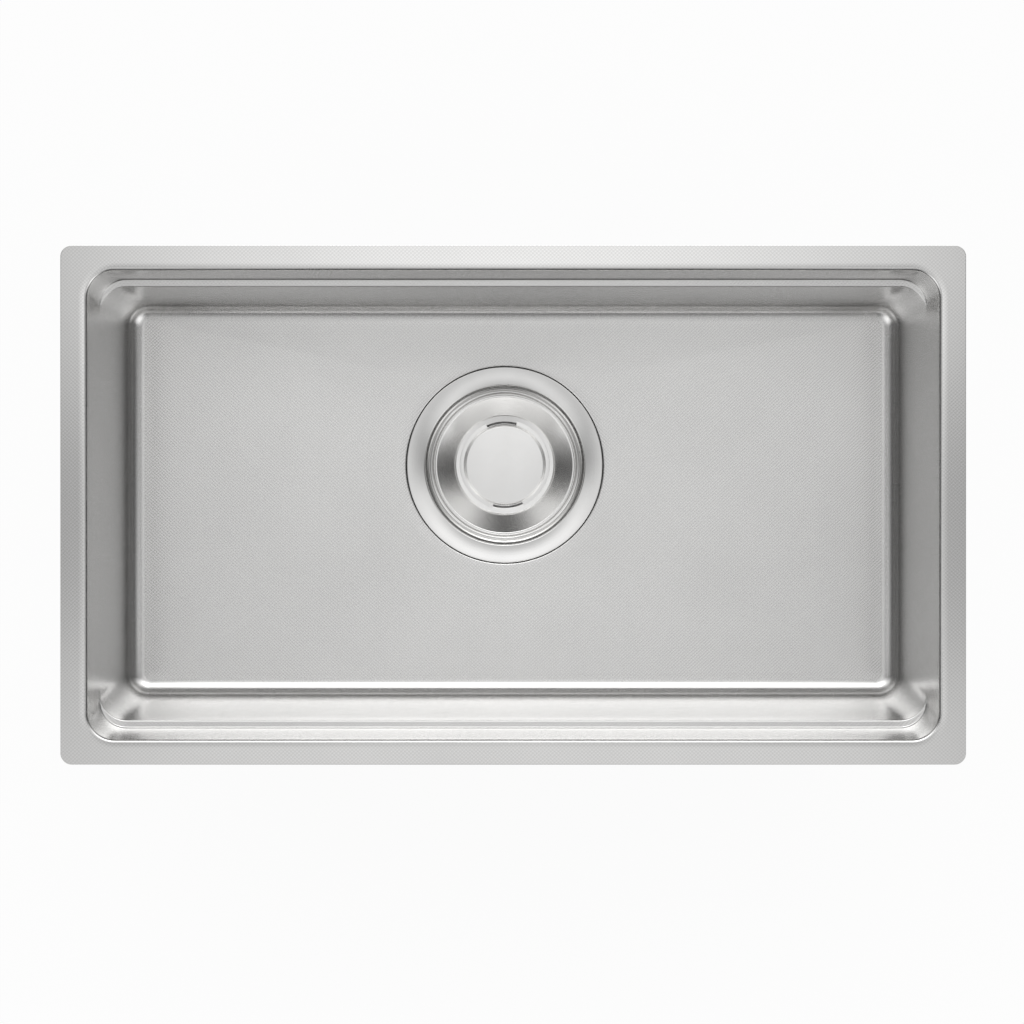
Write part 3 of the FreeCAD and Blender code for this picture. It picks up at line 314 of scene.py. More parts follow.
def at_drain(points):
    return [(x + DRAIN_X, y + DRAIN_Y, z) for x, y, z in points]


def along_port(points):
    """Turns a shape about Z into one about the side port's axis."""
    return [(z + DRAIN_X, y + DRAIN_Y, PORT_Z - x) for x, y, z in points]


def band(here, there, total):
    """The faces between two closed rings, given the number of each ring's first point."""
    return [(here + j, there + j, there + (j + 1) % total, here + (j + 1) % total) for j in range(total)]


def prism(shape, near, far, put=at_drain):
    """A solid between two outlines with the same number of points."""
    total = len(near)
    faces = [tuple(range(total)), tuple(range(total, 2 * total))]
    faces += [(j, (j + 1) % total, total + (j + 1) % total, total + j) for j in range(total)]
    shape.take(put(near + far), faces)


def lathe(shape, corners, put=at_drain, segments=SEGMENTS, count=6):
    """Turns a closed outline of (radius, height) corners all the way round."""
    line = rounded(corners, count=count)
    total = len(line)
    points = []
    for i in range(segments):
        turn = 2 * math.pi * i / segments
        points += [(p.x * math.cos(turn), p.x * math.sin(turn), p.y) for p in line]
    faces = []
    for i in range(segments):
        faces += band(i * total, (i + 1) % segments * total, total)
    shape.take(put(points), faces)


def sectors(shape, corners, angle, count, put=at_drain, first=0.0, steps=6):
    """The same outline turned over an angle only, count times round the axis."""
    line = rounded(corners)
    total = len(line)
    for k in range(count):
        middle = math.radians(first + 360 * k / count)
        points = []
        for i in range(steps + 1):
            turn = middle + math.radians(angle) * (i / steps - 0.5)
            points += [(p.x * math.cos(turn), p.x * math.sin(turn), p.y) for p in line]
        faces = [tuple(range(total)), tuple(steps * total + j for j in range(total))]
        for i in range(steps):
            faces += band(i * total, (i + 1) * total, total)
        shape.take(put(points), faces)


def turned(x, y, z, turn):
    """A point turned about Z."""
    return (x * math.cos(turn) - y * math.sin(turn), x * math.sin(turn) + y * math.cos(turn), z)


def slab(shape, line, thickness, turn=0.0):
    """An outline of (radius, height) points made thick across the plane it lies in, turned about Z."""
    near, far = ([turned(p.x, side * thickness, p.y, turn) for p in line] for side in (-0.5, 0.5))
    prism(shape, near, far)


def tube(shape, line, radius, turn=0.0, around=24):
    """A round wire along a flat line of (radius, height) points."""
    points = []
    for i, p in enumerate(line):
        ahead = (line[min(i + 1, len(line) - 1)] - line[max(i - 1, 0)]).normalized()
        side = Vector((-ahead.y, ahead.x))
        for k in range(around):
            angle = 2 * math.pi * k / around
            flat = p + side * (radius * math.cos(angle))
            points.append(turned(flat.x, radius * math.sin(angle), flat.y, turn))
    faces = [tuple(range(around)), tuple((len(line) - 1) * around + k for k in range(around))]
    for i in range(len(line) - 1):
        here, there = i * around, (i + 1) * around
        for k in range(around):
            onwards = (k + 1) % around
            faces.append((here + k, here + onwards, there + onwards, there + k))
    shape.take(at_drain(points), faces)


def cut(piece, cutter, sharp=32.0):
    """Cuts one object out of another and keeps the result as a plain mesh."""
    modifier = piece.modifiers.new("cut", "BOOLEAN")
    modifier.object = cutter
    modifier.operation = "DIFFERENCE"
    modifier.solver = "EXACT"
    bake(piece, sharp)
    bpy.data.objects.remove(cutter)


def bake(piece, sharp=32.0):
    """Applies an object's modifiers."""
    depsgraph = bpy.context.evaluated_depsgraph_get()
    mesh = bpy.data.meshes.new_from_object(piece.evaluated_get(depsgraph))
    piece.modifiers.clear()
    piece.data = mesh
    smooth(mesh, sharp)


def soften(piece, width, segments=2, angle=40.0, sharp=32.0):
    """Rounds an object's sharp edges."""
    modifier = piece.modifiers.new("edges", "BEVEL")
    modifier.width = width * MM
    modifier.segments = segments
    modifier.limit_method = "ANGLE"
    modifier.angle_limit = math.radians(angle)
    modifier.harden_normals = False
    bake(piece, sharp)


def stand_for(piece, node):
    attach(piece, BODY_OF[node])
    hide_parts(node)
    return piece


# ---------------------------------------------------------------- bowl

CORNER_STEPS, LONG_STEPS, SHORT_STEPS = 20, 48, 28
CORNER_ARC = 20     # degrees of the recess's circle that belong to a corner of the floor


def ring_angles():
    """Each point of a ring: its quarter's first angle and signs, its angle, its share of the next side."""
    marks = []
    for start, sx, sy, side_steps in ((0, 1, 1, LONG_STEPS), (90, -1, 1, SHORT_STEPS),
                                      (180, -1, -1, LONG_STEPS), (270, 1, -1, SHORT_STEPS)):
        for i in range(CORNER_STEPS + 1):
            marks.append((start, sx, sy, start + 90 * i / CORNER_STEPS, 0.0))
        for i in range(1, side_steps):
            marks.append((start, sx, sy, start + 90, i / side_steps))
    return marks


MARKS = ring_angles()


def ring(half_x, half_y, corner, z_side, z_long, blend_level=0.3):
    """A rounded rectangle's points, counter-clockwise from the right-hand side's back end.

    The height goes from that of the left and right walls to that of the long walls within the corners.
    """
    points = []
    for start, sx, sy, angle, share in MARKS:
        turn = math.radians(angle)
        x = sx * (half_x - corner) + corner * math.cos(turn)
        y = sy * (half_y - corner) + corner * math.sin(turn)
        if start in (0, 180):
            x -= share * 2 * sx * (half_x - corner)
        else:
            y -= share * 2 * sy * (half_y - corner)
        level = min(1.0, abs(math.sin(turn)) / blend_level)
        level = level * level * (3 - 2 * level)
        points.append(Vector((x, y, z_side + (z_long - z_side) * level)))
    return points


def drain_circle(radius, z):
    """A circle round the drain with a point for each point of a ring."""
    points = []
    for start, _, _, angle, share in MARKS:
        turn = start + 45 - CORNER_ARC / 2 + CORNER_ARC * (angle - start) / 90 + (90 - CORNER_ARC) * share
        turn = math.radians(turn)
        points.append(Vector((DRAIN_X + radius * math.cos(turn), DRAIN_Y + radius * math.sin(turn), z)))
    return points


def wall_rings():
    """The bowl's inside from the rim's edge to the floor's flat outline, as rings from the top down."""
    side_foot = BOWL_X + FLOOR_Z * SIDE_LEAN
    ledge_y = BOWL_Y + LEDGE_Z * LONG_LEAN
    tread_y = ledge_y - LEDGE_WIDTH
    long_foot = BOWL_Y + FLOOR_Z * LONG_LEAN - LEDGE_WIDTH
    rows = []
    for inset in (0.0, RIM_INSET):
        rows.append(((RIM_X - inset, 0.0), (RIM_Y - inset, 0.0), RIM_CORNER - inset, "rim"))
    inner_x, inner_y = BOWL_X + MOUTH_LAND, BOWL_Y + MOUTH_LAND
    rows.append(((inner_x, 0.0), (inner_y, 0.0), BOWL_CORNER + MOUTH_LAND, "rim"))
    side_mouth = bend((inner_x, 0), (BOWL_X, 0), (side_foot, FLOOR_Z), MOUTH_BEND, 8)
    long_mouth = bend((inner_y, 0), (BOWL_Y, 0), (ledge_y, LEDGE_Z), MOUTH_BEND, 8)
    for a, b in zip(side_mouth, long_mouth):
        lean_x = a.x - (BOWL_X + a.y * SIDE_LEAN)
        rows.append(((a.x, a.y), (b.x, b.y), BOWL_CORNER + lean_x, "wall"))

    def side_at(z):
        return (BOWL_X + z * SIDE_LEAN, z)

    for z in UPPER_ROWS:
        rows.append((side_at(z), (BOWL_Y + z * LONG_LEAN, z), BOWL_CORNER, "wall"))
    outer = bend((BOWL_Y, 0), (ledge_y, LEDGE_Z), (tread_y, LEDGE_Z), LEDGE_BEND_OUT, 6)
    inner = bend((ledge_y, LEDGE_Z), (tread_y, LEDGE_Z), (long_foot, FLOOR_Z), LEDGE_BEND_IN, 6)
    ledge = list(outer) + list(inner)
    for i, p in enumerate(ledge):
        z = LEDGE_Z + LEDGE_SPREAD - 2 * LEDGE_SPREAD * i / (len(ledge) - 1)
        rows.append((side_at(z), (p.x, p.y), BOWL_CORNER, "tread" if i == len(outer) - 1 else "wall"))

    def corner_at(z):
        share = (LEDGE_Z - z) / (LEDGE_Z - FLOOR_Z)
        return BOWL_CORNER + (FLOOR_CORNER - BOWL_CORNER) * max(0.0, share)

    for z in LOWER_ROWS:
        rows.append((side_at(z), (BOWL_Y + z * LONG_LEAN - LEDGE_WIDTH, z), corner_at(z), "wall"))
    flat_x, flat_y = side_foot - FLOOR_BEND * 2, long_foot - FLOOR_BEND * 2
    side_bend = bend((BOWL_X, 0), (side_foot, FLOOR_Z), (flat_x, FLOOR_Z), FLOOR_BEND, 14)
    long_bend = bend((tread_y, LEDGE_Z), (long_foot, FLOOR_Z), (flat_y, FLOOR_Z), FLOOR_BEND, 14)
    for a, b in zip(side_bend, long_bend):
        inset = side_at(a.y)[0] - a.x
        rows.append(((a.x, a.y), (b.x, b.y), corner_at(a.y) - inset, "wall"))
    return rows


def floor_rings(flat):
    """The floor from its flat outline down to the recess, as rings that turn from rectangle to circle."""
    mouth = drain_circle(RECESS_R + RECESS_ROUND, DRAIN_Z)
    rings = []
    for i in range(1, FLOOR_ROWS + 1):
        share = i / FLOOR_ROWS
        fall = (math.hypot(share, FLOOR_EASE) - FLOOR_EASE) / (math.hypot(1, FLOOR_EASE) - FLOOR_EASE)
        z = FLOOR_Z + (DRAIN_Z - FLOOR_Z) * fall
        rings.append([Vector((*(p.xy.lerp(q.xy, share)), z)) for p, q in zip(flat, mouth)])
    return rings


def recess_rings():
    """The recess for the drain's flange, from its rounded edge to the hole."""
    edge = rounded([(RECESS_R + 6, DRAIN_Z), (RECESS_R, DRAIN_Z, RECESS_ROUND), (RECESS_R, RECESS_Z, 1.0),
                    (HOLE_R, RECESS_Z)], closed=False)
    return [drain_circle(p.x, p.y) for p in edge[2:]]


def draw_bowl():
    rings = []
    kinds = []
    for (half_x, z_side), (half_y, z_long), corner, kind in wall_rings():
        rings.append(ring(half_x, half_y, corner, z_side, z_long))
        kinds.append(kind)
    for kind, more in (("floor", floor_rings(rings[-1])), ("recess", recess_rings())):
        rings += more
        kinds += [kind] * len(more)
    shape = Shape()
    total = len(MARKS)
    for i in range(len(rings) - 1):
        kind = 0 if kinds[i + 1] == "floor" or kinds[i] in ("rim", "tread") else 1
        points = rings[i] + rings[i + 1]
        faces = [(j, (j + 1) % total, total + (j + 1) % total, total + j) for j in range(total)]
        shape.take(points, faces, kind)
    bowl = shape.object("bowl_pressing", [MATERIALS["emboss"], MATERIALS["wall"]], merge=2e-6)
    upward = sum(p.normal.z * p.area for p in bowl.data.polygons)
    if upward < 0:
        bowl.data.flip_normals()
    sheet = bowl.modifiers.new("gauge", "SOLIDIFY")
    sheet.thickness = GAUGE * MM
    sheet.offset = -1.0
    sheet.use_even_offset = True
    bake(bowl)
    soften(bowl, 0.12, 2, 60.0)
    return stand_for(bowl, "bowl")


draw_bowl()


# ---------------------------------------------------------------- drain, from above

def turned_piece(name, node, corners, material, put=at_drain, count=6, sharp=32.0):
    shape = Shape()
    lathe(shape, corners, put, count=count)
    return stand_for(shape.object(name, [MATERIALS[material]], sharp), node)


FLANGE_R, FLANGE_TOP, FLANGE_EDGE = 97.8, -200.2, -202.2
LAND_R, LAND_LOW = 79.9, -201.8
SEAT_R, SEAT_Z, SEAT_LIP = 66.6, -210.0, -213.0
SHEET = 0.8     # sheet of the flange, lid and cap
turned_piece("flange_pressing", "drain_flange", [
    (FLANGE_R, FLANGE_EDGE), (FLANGE_R, FLANGE_TOP, 0.9), (LAND_R, LAND_LOW, 1.2),
    (78.6, SEAT_Z, 1.5), (76.2, SEAT_Z, 1.5), (73.2, SEAT_Z + 1.1, 1.2), (70.9, SEAT_Z, 0.8),
    (SEAT_R, SEAT_Z, 1.2), (SEAT_R, SEAT_LIP), (SEAT_R + SHEET, SEAT_LIP),
    (SEAT_R + SHEET, SEAT_Z - SHEET, 0.4), (75.48, SEAT_Z - SHEET, 4.8), (80.74, LAND_LOW - SHEET, 0.8),
    (96.4, FLANGE_TOP - SHEET), (96.4, FLANGE_EDGE),
], "polished", count=10)

LID_SLOPE = math.tan(math.radians(35))
LID_R, LID_TOP, LID_UNDER = 70.2, -205.7, -208.7
FUNNEL_START, FUNNEL_END = 67.95, 50.0
FUNNEL_BACK = 67.2      # radius at which the funnel's underside meets the lid's edge
THROAT_R, THROAT_LIP = 43.2, 3.0
LIP_TOP = LID_TOP - (FUNNEL_START - FUNNEL_END) * LID_SLOPE
SHELF = LIP_TOP - 2.2
UPRIGHT = SHEET / math.cos(math.radians(35))
turned_piece("lid_pressing", "funnel_lid", [
    (FUNNEL_BACK, LID_UNDER, 0.6), (LID_R, LID_UNDER, 1.3), (LID_R, LID_TOP, 1.3),
    (FUNNEL_START, LID_TOP, 1.3), (FUNNEL_END, LIP_TOP, 0.8), (FUNNEL_END - SHEET, SHELF, 0.6),
    (THROAT_R, SHELF, 0.9),
    (THROAT_R, SHELF - THROAT_LIP), (THROAT_R + SHEET, SHELF - THROAT_LIP), (THROAT_R + SHEET, SHELF - SHEET),
    (FUNNEL_END, SHELF - SHEET), (50.24, LIP_TOP - UPRIGHT),
    (FUNNEL_BACK, LID_TOP - (FUNNEL_START - FUNNEL_BACK) * LID_SLOPE - UPRIGHT),
], "funnel", count=10)

CAP_UNDER = SHELF + 0.3
BRIM_TOP = CAP_UNDER + SHEET
CAP_TOP = BRIM_TOP + 6
DISC_R, BRIM_R = 39.2, 45.3
NOTCH_HALF, NOTCH_TURN, NOTCH_R = 20.5, 4.4, 41.3      # half width and turn in degrees, inner radius


def draw_cap():
    shape = Shape()
    lathe(shape, [
        (0, CAP_TOP), (DISC_R, CAP_TOP, 1.5), (41, BRIM_TOP, 0.6), (NOTCH_R, BRIM_TOP), (NOTCH_R, CAP_UNDER),
        (40.2, CAP_UNDER), (DISC_R - SHEET, CAP_TOP - SHEET, 0.7), (0, CAP_TOP - SHEET),
    ], count=10)
    start = NOTCH_R - 0.05
    brim = [(start, CAP_UNDER), (BRIM_R, CAP_UNDER), (BRIM_R, BRIM_TOP, 0.3), (start, BRIM_TOP)]
    sectors(shape, brim, 180 - 2 * NOTCH_HALF, 2, first=NOTCH_TURN, steps=90)
    return stand_for(shape.object("cap_pressing", [MATERIALS["cap"]]), "centre_cap")


draw_cap()

BASKET_TOP, BASKET_BOTTOM = -209.0, -261.0
BASKET_RIM, BASKET_MOUTH, BASKET_FOOT = 69.7, 66.0, 58.0
BASKET_SHEET = 0.7
SLOTS, SLOT_HALF, SLOT_WIDE = 20, 10.0, 2.0     # count, half length and half width of the slots in the wall
HOLE_STEP, DRAIN_HOLE, HOLE_POINTS = 17.0, 3.0, 28


def cut_slots(tools):
    """Upright slots all round the basket's wall."""
    middle = (BASKET_TOP + BASKET_BOTTOM) / 2
    low, high, round_end = middle - SLOT_HALF, middle + SLOT_HALF, SLOT_WIDE - 0.01
    slot = rounded([(-SLOT_WIDE, low, round_end), (SLOT_WIDE, low, round_end),
                    (SLOT_WIDE, high, round_end), (-SLOT_WIDE, high, round_end)], count=5)
    for k in range(SLOTS):
        turn = 2 * math.pi * k / SLOTS
        near, far = ([turned(radius, p.x, p.y, turn) for p in slot] for radius in (42, 74))
        prism(tools, near, far)


def cut_holes(tools):
    """Two rings of round holes in the basket's floor, and one in the middle."""
    places = [(0.0, 0.0)]
    for step in (1, 2):
        for k in range(6 * step):
            turn = 2 * math.pi * k / (6 * step)
            places.append((HOLE_STEP * step * math.cos(turn), HOLE_STEP * step * math.sin(turn)))
    angles = [2 * math.pi * k / HOLE_POINTS for k in range(HOLE_POINTS)]
    for x, y in places:
        low, high = ([(x + DRAIN_HOLE * math.cos(a), y + DRAIN_HOLE * math.sin(a), z) for a in angles]
                     for z in (BASKET_BOTTOM - 2, BASKET_BOTTOM + 3))
        prism(tools, low, high)


def draw_basket():
    shape = Shape()
    inside = BASKET_BOTTOM + BASKET_SHEET
    lathe(shape, [
        (0, BASKET_BOTTOM), (BASKET_FOOT, BASKET_BOTTOM, 8.7), (BASKET_MOUTH, BASKET_TOP - BASKET_SHEET, 0.6),
        (BASKET_RIM, BASKET_TOP - BASKET_SHEET), (BASKET_RIM, BASKET_TOP),
        (BASKET_MOUTH - BASKET_SHEET, BASKET_TOP, 1.3), (BASKET_FOOT - BASKET_SHEET, inside, 8), (0, inside),
    ], count=8, segments=240)
    basket = shape.object("basket_pressing", [MATERIALS["basket"]])
    tools = Shape()
    cut_slots(tools)
    cut_holes(tools)
    cut(basket, tools.object("basket_tools", []))
    return stand_for(basket, "basket")


draw_basket()


def draw_handle():
    """A bent wire across the basket, with its legs along the leaning wall."""
    wire, gap, bar_drop, leg_drop = 1.75, 0.1, 18, 39
    lean = (BASKET_MOUTH - BASKET_FOOT) / (BASKET_TOP - BASKET_BOTTOM)
    top, foot = BASKET_TOP - bar_drop, BASKET_TOP - leg_drop
    from_wall = BASKET_SHEET + wire + gap
    reach_top = BASKET_MOUTH - bar_drop * lean - from_wall
    reach_foot = BASKET_MOUTH - leg_drop * lean - from_wall
    line = rounded([(reach_foot, foot), (reach_top, top, 8), (-reach_top, top, 8), (-reach_foot, foot)],
                   closed=False, count=16)
    shape = Shape()
    tube(shape, line, wire, turn=math.radians(9))
    return stand_for(shape.object("handle_wire", [MATERIALS["wire"]]), "basket_handle")


draw_handle()


# ---------------------------------------------------------------- drain, from below

CUP_FLOOR = -306.0
CUP_UNDER = -308.8
NECK_END, SHOULDER_END = -245.0, -257.0
NUT_TOP, NUT_UNDER = -209.5, -226.5
STUB_END = -330.0
PORT_Z = -272.0
LOCK_LOW = CUP_FLOOR + 8
NECK_R, NECK_INSIDE = 87.9, 84.0
CUP_FLANGE_R, CUP_FLANGE_UNDER = 96.2, -203.8
PIPE_HOLE, PORT_HOLE = 24.1, 16.7
PIPE_R, PIPE_BORE = 24.0, 20.5
PORT_R, PORT_BORE, PORT_END = 16.6, 13.0, 108.0
NUT_BORE, NUT_R = 88.7, 97.0


def thread(shape, root, crest, low, high, pitch, steps=96):
    """A screw thread's ridge round the axis between two heights."""
    turns = (high - low) / pitch
    total = int(turns * steps)
    points = []
    for i in range(total + 1):
        angle = 2 * math.pi * i / steps
        z = low + pitch * i / steps
        reach = crest if steps / 4 < i < total - steps / 4 else root + 0.1
        for radius, rise in ((root - 0.3, -0.42 * pitch), (reach, -0.12 * pitch), (reach, 0.12 * pitch),
                             (root - 0.3, 0.42 * pitch)):
            points.append((radius * math.cos(angle), radius * math.sin(angle), z + rise))
    faces = [(0, 1, 2, 3), tuple(4 * total + j for j in range(4))]
    for i in range(total):
        faces += band(4 * i, 4 * (i + 1), 4)
    shape.take(at_drain(points), faces)


def draw_cup():
    shape = Shape()
    wall = 2.8
    lathe(shape, [
        (PIPE_HOLE, CUP_UNDER), (75, CUP_UNDER, 8.8), (80, SHOULDER_END, 4), (NECK_R, NECK_END, 3),
        (NECK_R, CUP_FLANGE_UNDER), (CUP_FLANGE_R, CUP_FLANGE_UNDER), (CUP_FLANGE_R, -201.39),
        (NECK_INSIDE, -202.52), (NECK_INSIDE, NECK_END, 3), (80 - wall, SHOULDER_END, 4),
        (75 - wall, CUP_FLOOR, 6), (PIPE_HOLE, CUP_FLOOR),
    ])
    cup = shape.object("cup_moulding", [MATERIALS["white"]])
    tools = Shape()
    lathe(tools, [(0, 60), (PORT_HOLE, 60), (PORT_HOLE, 120), (0, 120)], along_port, 96)
    cut(cup, tools.object("cup_tools", []))
    extras = Shape()
    thread(extras, NECK_R, NECK_R + 0.6, NECK_END + 3, NUT_TOP, 4.0)
    rib = [Vector(p) for p in ((73.6, CUP_UNDER + 10), (77, CUP_UNDER + 10), (87.5, NECK_END - 1),
                               (86.25, NECK_END - 1), (78.6, SHOULDER_END))]
    ribs = 8
    for k in range(ribs):
        slab(extras, rib, 2.5, turn=2 * math.pi * k / ribs)
    reach, post = 34.5, 39.0
    hook = [(post, CUP_FLOOR - 1.4), (post + 2.5, CUP_FLOOR - 1.4), (post + 2.5, LOCK_LOW + 6, 0.6),
            (reach, LOCK_LOW + 6, 0.6), (reach, LOCK_LOW + 3.5), (post, LOCK_LOW + 3.5)]
    sectors(extras, hook, 20, 2)
    details = extras.object("cup_details", [MATERIALS["white"]])
    for piece in (cup, details):
        stand_for(piece, "drain_cup")


draw_cup()

PIPE_TOP = -282.0
COLLAR_R, COLLAR_UNDER, COLLAR_TOP = 28.5, -305.9, -303.9
turned_piece("standpipe_moulding", "standpipe", [
    (PIPE_BORE, STUB_END), (PIPE_R, STUB_END, 0.4), (PIPE_R, COLLAR_UNDER),
    (COLLAR_R, COLLAR_UNDER), (COLLAR_R, COLLAR_TOP, 0.4), (PIPE_R, COLLAR_TOP, 0.6),
    (PIPE_R, PIPE_TOP, 0.6), (PIPE_BORE, PIPE_TOP, 0.6),
], "white")
turned_piece("side_port_moulding", "side_port", [
    (PORT_BORE, 73.6), (PORT_R, 73.6), (PORT_R, PORT_END, 0.3), (PORT_BORE, PORT_END, 0.3),
], "white", along_port)


def draw_ring_nut():
    shape = Shape()
    lathe(shape, [(NUT_BORE, NUT_UNDER, 0.6), (NUT_R, NUT_UNDER, 2), (NUT_R, NUT_TOP), (NUT_BORE, NUT_TOP)])
    lug = [(95, NUT_UNDER + 1), (102, NUT_UNDER + 1, 1.5), (102, NUT_TOP - 1, 1.5), (95, NUT_TOP - 1)]
    sectors(shape, lug, 11, 12, steps=8)
    nut = shape.object("nut_moulding", [MATERIALS["dark"]])
    soften(nut, 0.5)
    return stand_for(nut, "ring_nut")


draw_ring_nut()


def draw_bell():
    skirt, top = LOCK_LOW, CUP_FLOOR + 38
    wall = 2.2
    outside, inside = 34, 34 - wall
    shape = Shape()
    lathe(shape, [(0, top), (outside, top, 7), (outside, skirt), (inside, skirt), (inside, top - wall, 4.8),
                  (0, top - wall)])
    grip = rounded([(-27, top - wall / 2), (27, top - wall / 2), (27, top + 3, 1.5), (-27, top + 3, 1.5)])
    slab(shape, grip, 4)
    lug = [(32.9, skirt), (38.5, skirt), (38.5, skirt + 3), (32.9, skirt + 3)]
    sectors(shape, lug, 20, 2)
    bell = shape.object("bell_moulding", [MATERIALS["dark"]])
    soften(bell, 0.4)
    return stand_for(bell, "trap_bell")


draw_bell()

TAIL_R, TAIL_BORE, TAIL_END = 20.0, 18.0, -377.0
TAIL_FLANGE_R, TAIL_FLANGE_UNDER, TAIL_TOP = 23.4, -335.0, -332.0
turned_piece("tail_moulding", "outlet_tail", [
    (TAIL_BORE, TAIL_END), (TAIL_R, TAIL_END, 0.6), (TAIL_R, -339), (20.8, -339), (20.8, TAIL_FLANGE_UNDER),
    (TAIL_FLANGE_R, TAIL_FLANGE_UNDER), (TAIL_FLANGE_R, TAIL_TOP), (TAIL_BORE, TAIL_TOP),
], "white")


def draw_outlet_nut():
    low, high = -338.5, -313.0
    shape = Shape()
    lathe(shape, [(21, low), (29.5, low, 1.5), (29.5, high, 1.5), (24.2, high), (24.2, TAIL_FLANGE_UNDER),
                  (21, TAIL_FLANGE_UNDER)])
    sectors(shape, [(28, low + 1.5), (31, low + 3), (31, high - 3), (28, high - 1.5)], 10, 10)
    nut = shape.object("outlet_nut_moulding", [MATERIALS["dark"]])
    soften(nut, 0.4)
    return stand_for(nut, "outlet_nut")


draw_outlet_nut()


def draw_port_cap():
    shape = Shape()
    lathe(shape, [(16.8, 97), (20.5, 97), (20.5, 113, 1.5), (0, 113), (0, 110), (16.8, 110)], along_port, 128)
    sectors(shape, [(19, 98), (21.7, 98), (21.7, 110), (19, 111.5)], 14, 8, along_port)
    cap = shape.object("port_cap_moulding", [MATERIALS["dark"]])
    soften(cap, 0.3)
    return stand_for(cap, "side_port_cap")


draw_port_cap()

WASHER_R, SLIP_TOP = 98.0, NUT_TOP + 1


def flat_ring(name, node, inner, outer, low, high, material, *edge):
    """A flat ring, whose outer corners are rounded when an edge radius is given."""
    corners = [(inner, low), (outer, low, *edge), (outer, high, *edge), (inner, high)]
    return turned_piece(name, node, corners, material)


flat_ring("flange_gasket_ring", "flange_gasket", NUT_BORE, 96.4, RECESS_Z, CUP_FLANGE_UNDER, "seal")
flat_ring("floor_washer_ring", "floor_washer", HOLE_R, WASHER_R, SLIP_TOP, RECESS_Z - GAUGE, "seal", 0.6)
flat_ring("friction_ring_flat", "friction_ring", NUT_BORE, WASHER_R, NUT_TOP, SLIP_TOP, "white")
flat_ring("outlet_washer_ring", "outlet_washer", PIPE_BORE, TAIL_FLANGE_R, TAIL_TOP, STUB_END, "seal")
turned_piece("port_washer_disc", "side_port_washer", [
    (0, PORT_END), (16.2, PORT_END), (16.2, PORT_END + 2), (0, PORT_END + 2),
], "seal", along_port)


def dress_pads():
    """Rubber pads: the construction model's shape with rounded edges."""
    for node in [name for name in frame["nodes"] if name.startswith("pad_")]:
        mesh = frame["nodes"][node].data.copy()
        work = bmesh.new()
        work.from_mesh(mesh)
        bmesh.ops.remove_doubles(work, verts=work.verts, dist=1e-6)
        bmesh.ops.dissolve_limit(work, angle_limit=math.radians(0.5), verts=work.verts, edges=work.edges)
        work.to_mesh(mesh)
        work.free()
        mesh.materials.clear()
        mesh.materials.append(MATERIALS["pad"])
        pad = bpy.data.objects.new(f"{node}_sheet", mesh)
        bpy.context.scene.collection.objects.link(pad)
        soften(pad, 0.7, 3)
        stand_for(pad, node)


dress_pads()


# ---------------------------------------------------------------- floor, light and camera

FLOOR_HALF, FLOOR_LEVEL = 12.0, -0.3772     # metres; just under the waste tail's end
FLOOR_WHITE = 0.94      # share of plain white in the floor that the camera sees; the rest has the shadow


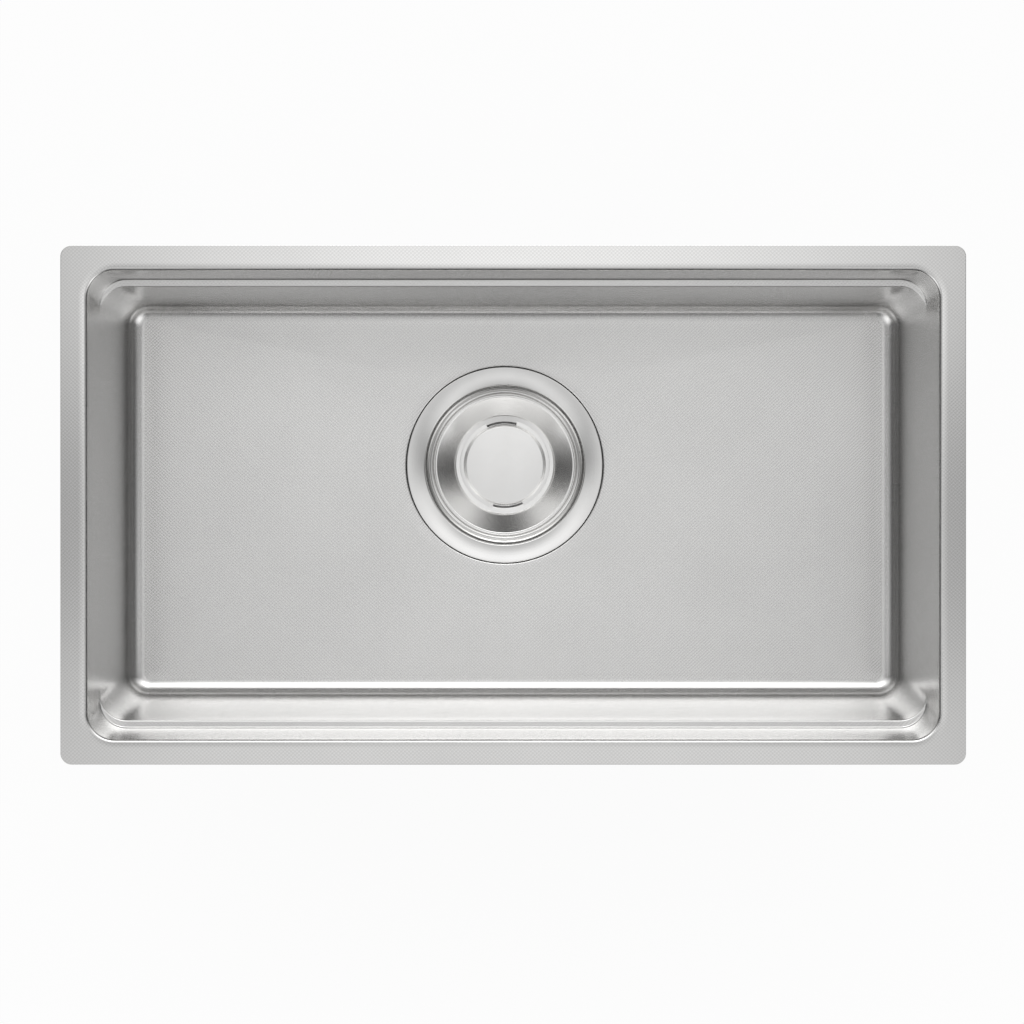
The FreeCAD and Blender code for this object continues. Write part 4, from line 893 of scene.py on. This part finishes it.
def make_floor():
    mesh = bpy.data.meshes.new("studio_floor")
    size, z = FLOOR_HALF, FLOOR_LEVEL
    corners = [(-size, -size, z), (size, -size, z), (size, size, z), (-size, size, z)]
    mesh.from_pydata(corners, [], [(0, 1, 2, 3)])
    floor = bpy.data.objects.new("studio_floor", mesh)
    bpy.context.scene.collection.objects.link(floor)
    material, tree, shader = new_material("studio_floor")
    shader.inputs["Base Color"].default_value = (0.8, 0.8, 0.8, 1)
    shader.inputs["Roughness"].default_value = 0.9
    shader.inputs["Specular IOR Level"].default_value = 0.0
    path = tree.nodes.new("ShaderNodeLightPath").outputs
    seen = maths(tree, "MAXIMUM", path["Is Camera Ray"], path["Is Glossy Ray"])
    seen = maths(tree, "MAXIMUM", seen, path["Is Transmission Ray"])
    white = add(tree, "ShaderNodeEmission", inputs=[(1, 1, 1, 1), 1.0]).outputs[0]
    share = maths(tree, "MULTIPLY", seen, FLOOR_WHITE)
    mixed = add(tree, "ShaderNodeMixShader", inputs=[share, shader.outputs[0], white]).outputs[0]
    tree.links.new(mixed, tree.nodes["Material Output"].inputs["Surface"])
    mesh.materials.append(material)


make_floor()

# Soft lights, each with its mirror image across the middle:
# azimuth from the back and elevation in degrees, sharpness, strength.
LIGHTS = [
    (18, 50, 16, 2.0),
    (6, 40, 60, 0.8),
    (126, 50, 16, 1.2),
    (45, 27, 16, 0.95),
    (135, 27, 16, 1.15),
    (0, 85, 320, 0.25),
    (50, 83, 320, 0.5),
    (67, 78, 320, 0.45),
    (146, 80, 320, 0.35),
    (125, 77, 320, 0.3),
    (180, 82, 320, 0.15),
    (162, 70, 30, 0.2),
    (0, 90, 120, 0.2),
]


def make_world():
    world = bpy.data.worlds.new("studio")
    world.use_nodes = True
    tree = world.node_tree
    direction = tree.nodes.new("ShaderNodeTexCoord").outputs["Generated"]
    direction = add(tree, "ShaderNodeVectorMath", "NORMALIZE", [direction]).outputs[0]
    total = 0.0
    for azimuth, elevation, sharpness, strength in LIGHTS:
        e = math.radians(elevation)
        for side in (-1, 1):
            a = math.radians(90 + side * azimuth)
            towards = (math.cos(a) * math.cos(e), math.sin(a) * math.cos(e), math.sin(e))
            facing = add(tree, "ShaderNodeVectorMath", "DOT_PRODUCT", [direction, towards]).outputs["Value"]
            lobe = maths(tree, "EXPONENT", maths(tree, "MULTIPLY_ADD", facing, sharpness, -sharpness))
            total = maths(tree, "MULTIPLY_ADD", lobe, strength, total)
    tree.links.new(total, tree.nodes["Background"].inputs["Color"])
    bpy.context.scene.world = world


make_world()

CAMERA_AT = (0.0, 0.0498, 1.95)         # metres; it looks straight down
CAMERA_LENS, CAMERA_SHIFT = 75.72, (-0.0012, -0.0605)


def make_camera():
    data = bpy.data.cameras.new("camera")
    data.sensor_width = 36
    data.lens = CAMERA_LENS
    data.shift_x, data.shift_y = CAMERA_SHIFT
    data.clip_end = 100
    camera = bpy.data.objects.new("camera", data)
    camera.location = CAMERA_AT
    bpy.context.scene.collection.objects.link(camera)
    bpy.context.scene.camera = camera


make_camera()
bpy.context.scene.view_settings.view_transform = "Standard"

bpy.context.view_layer.update()
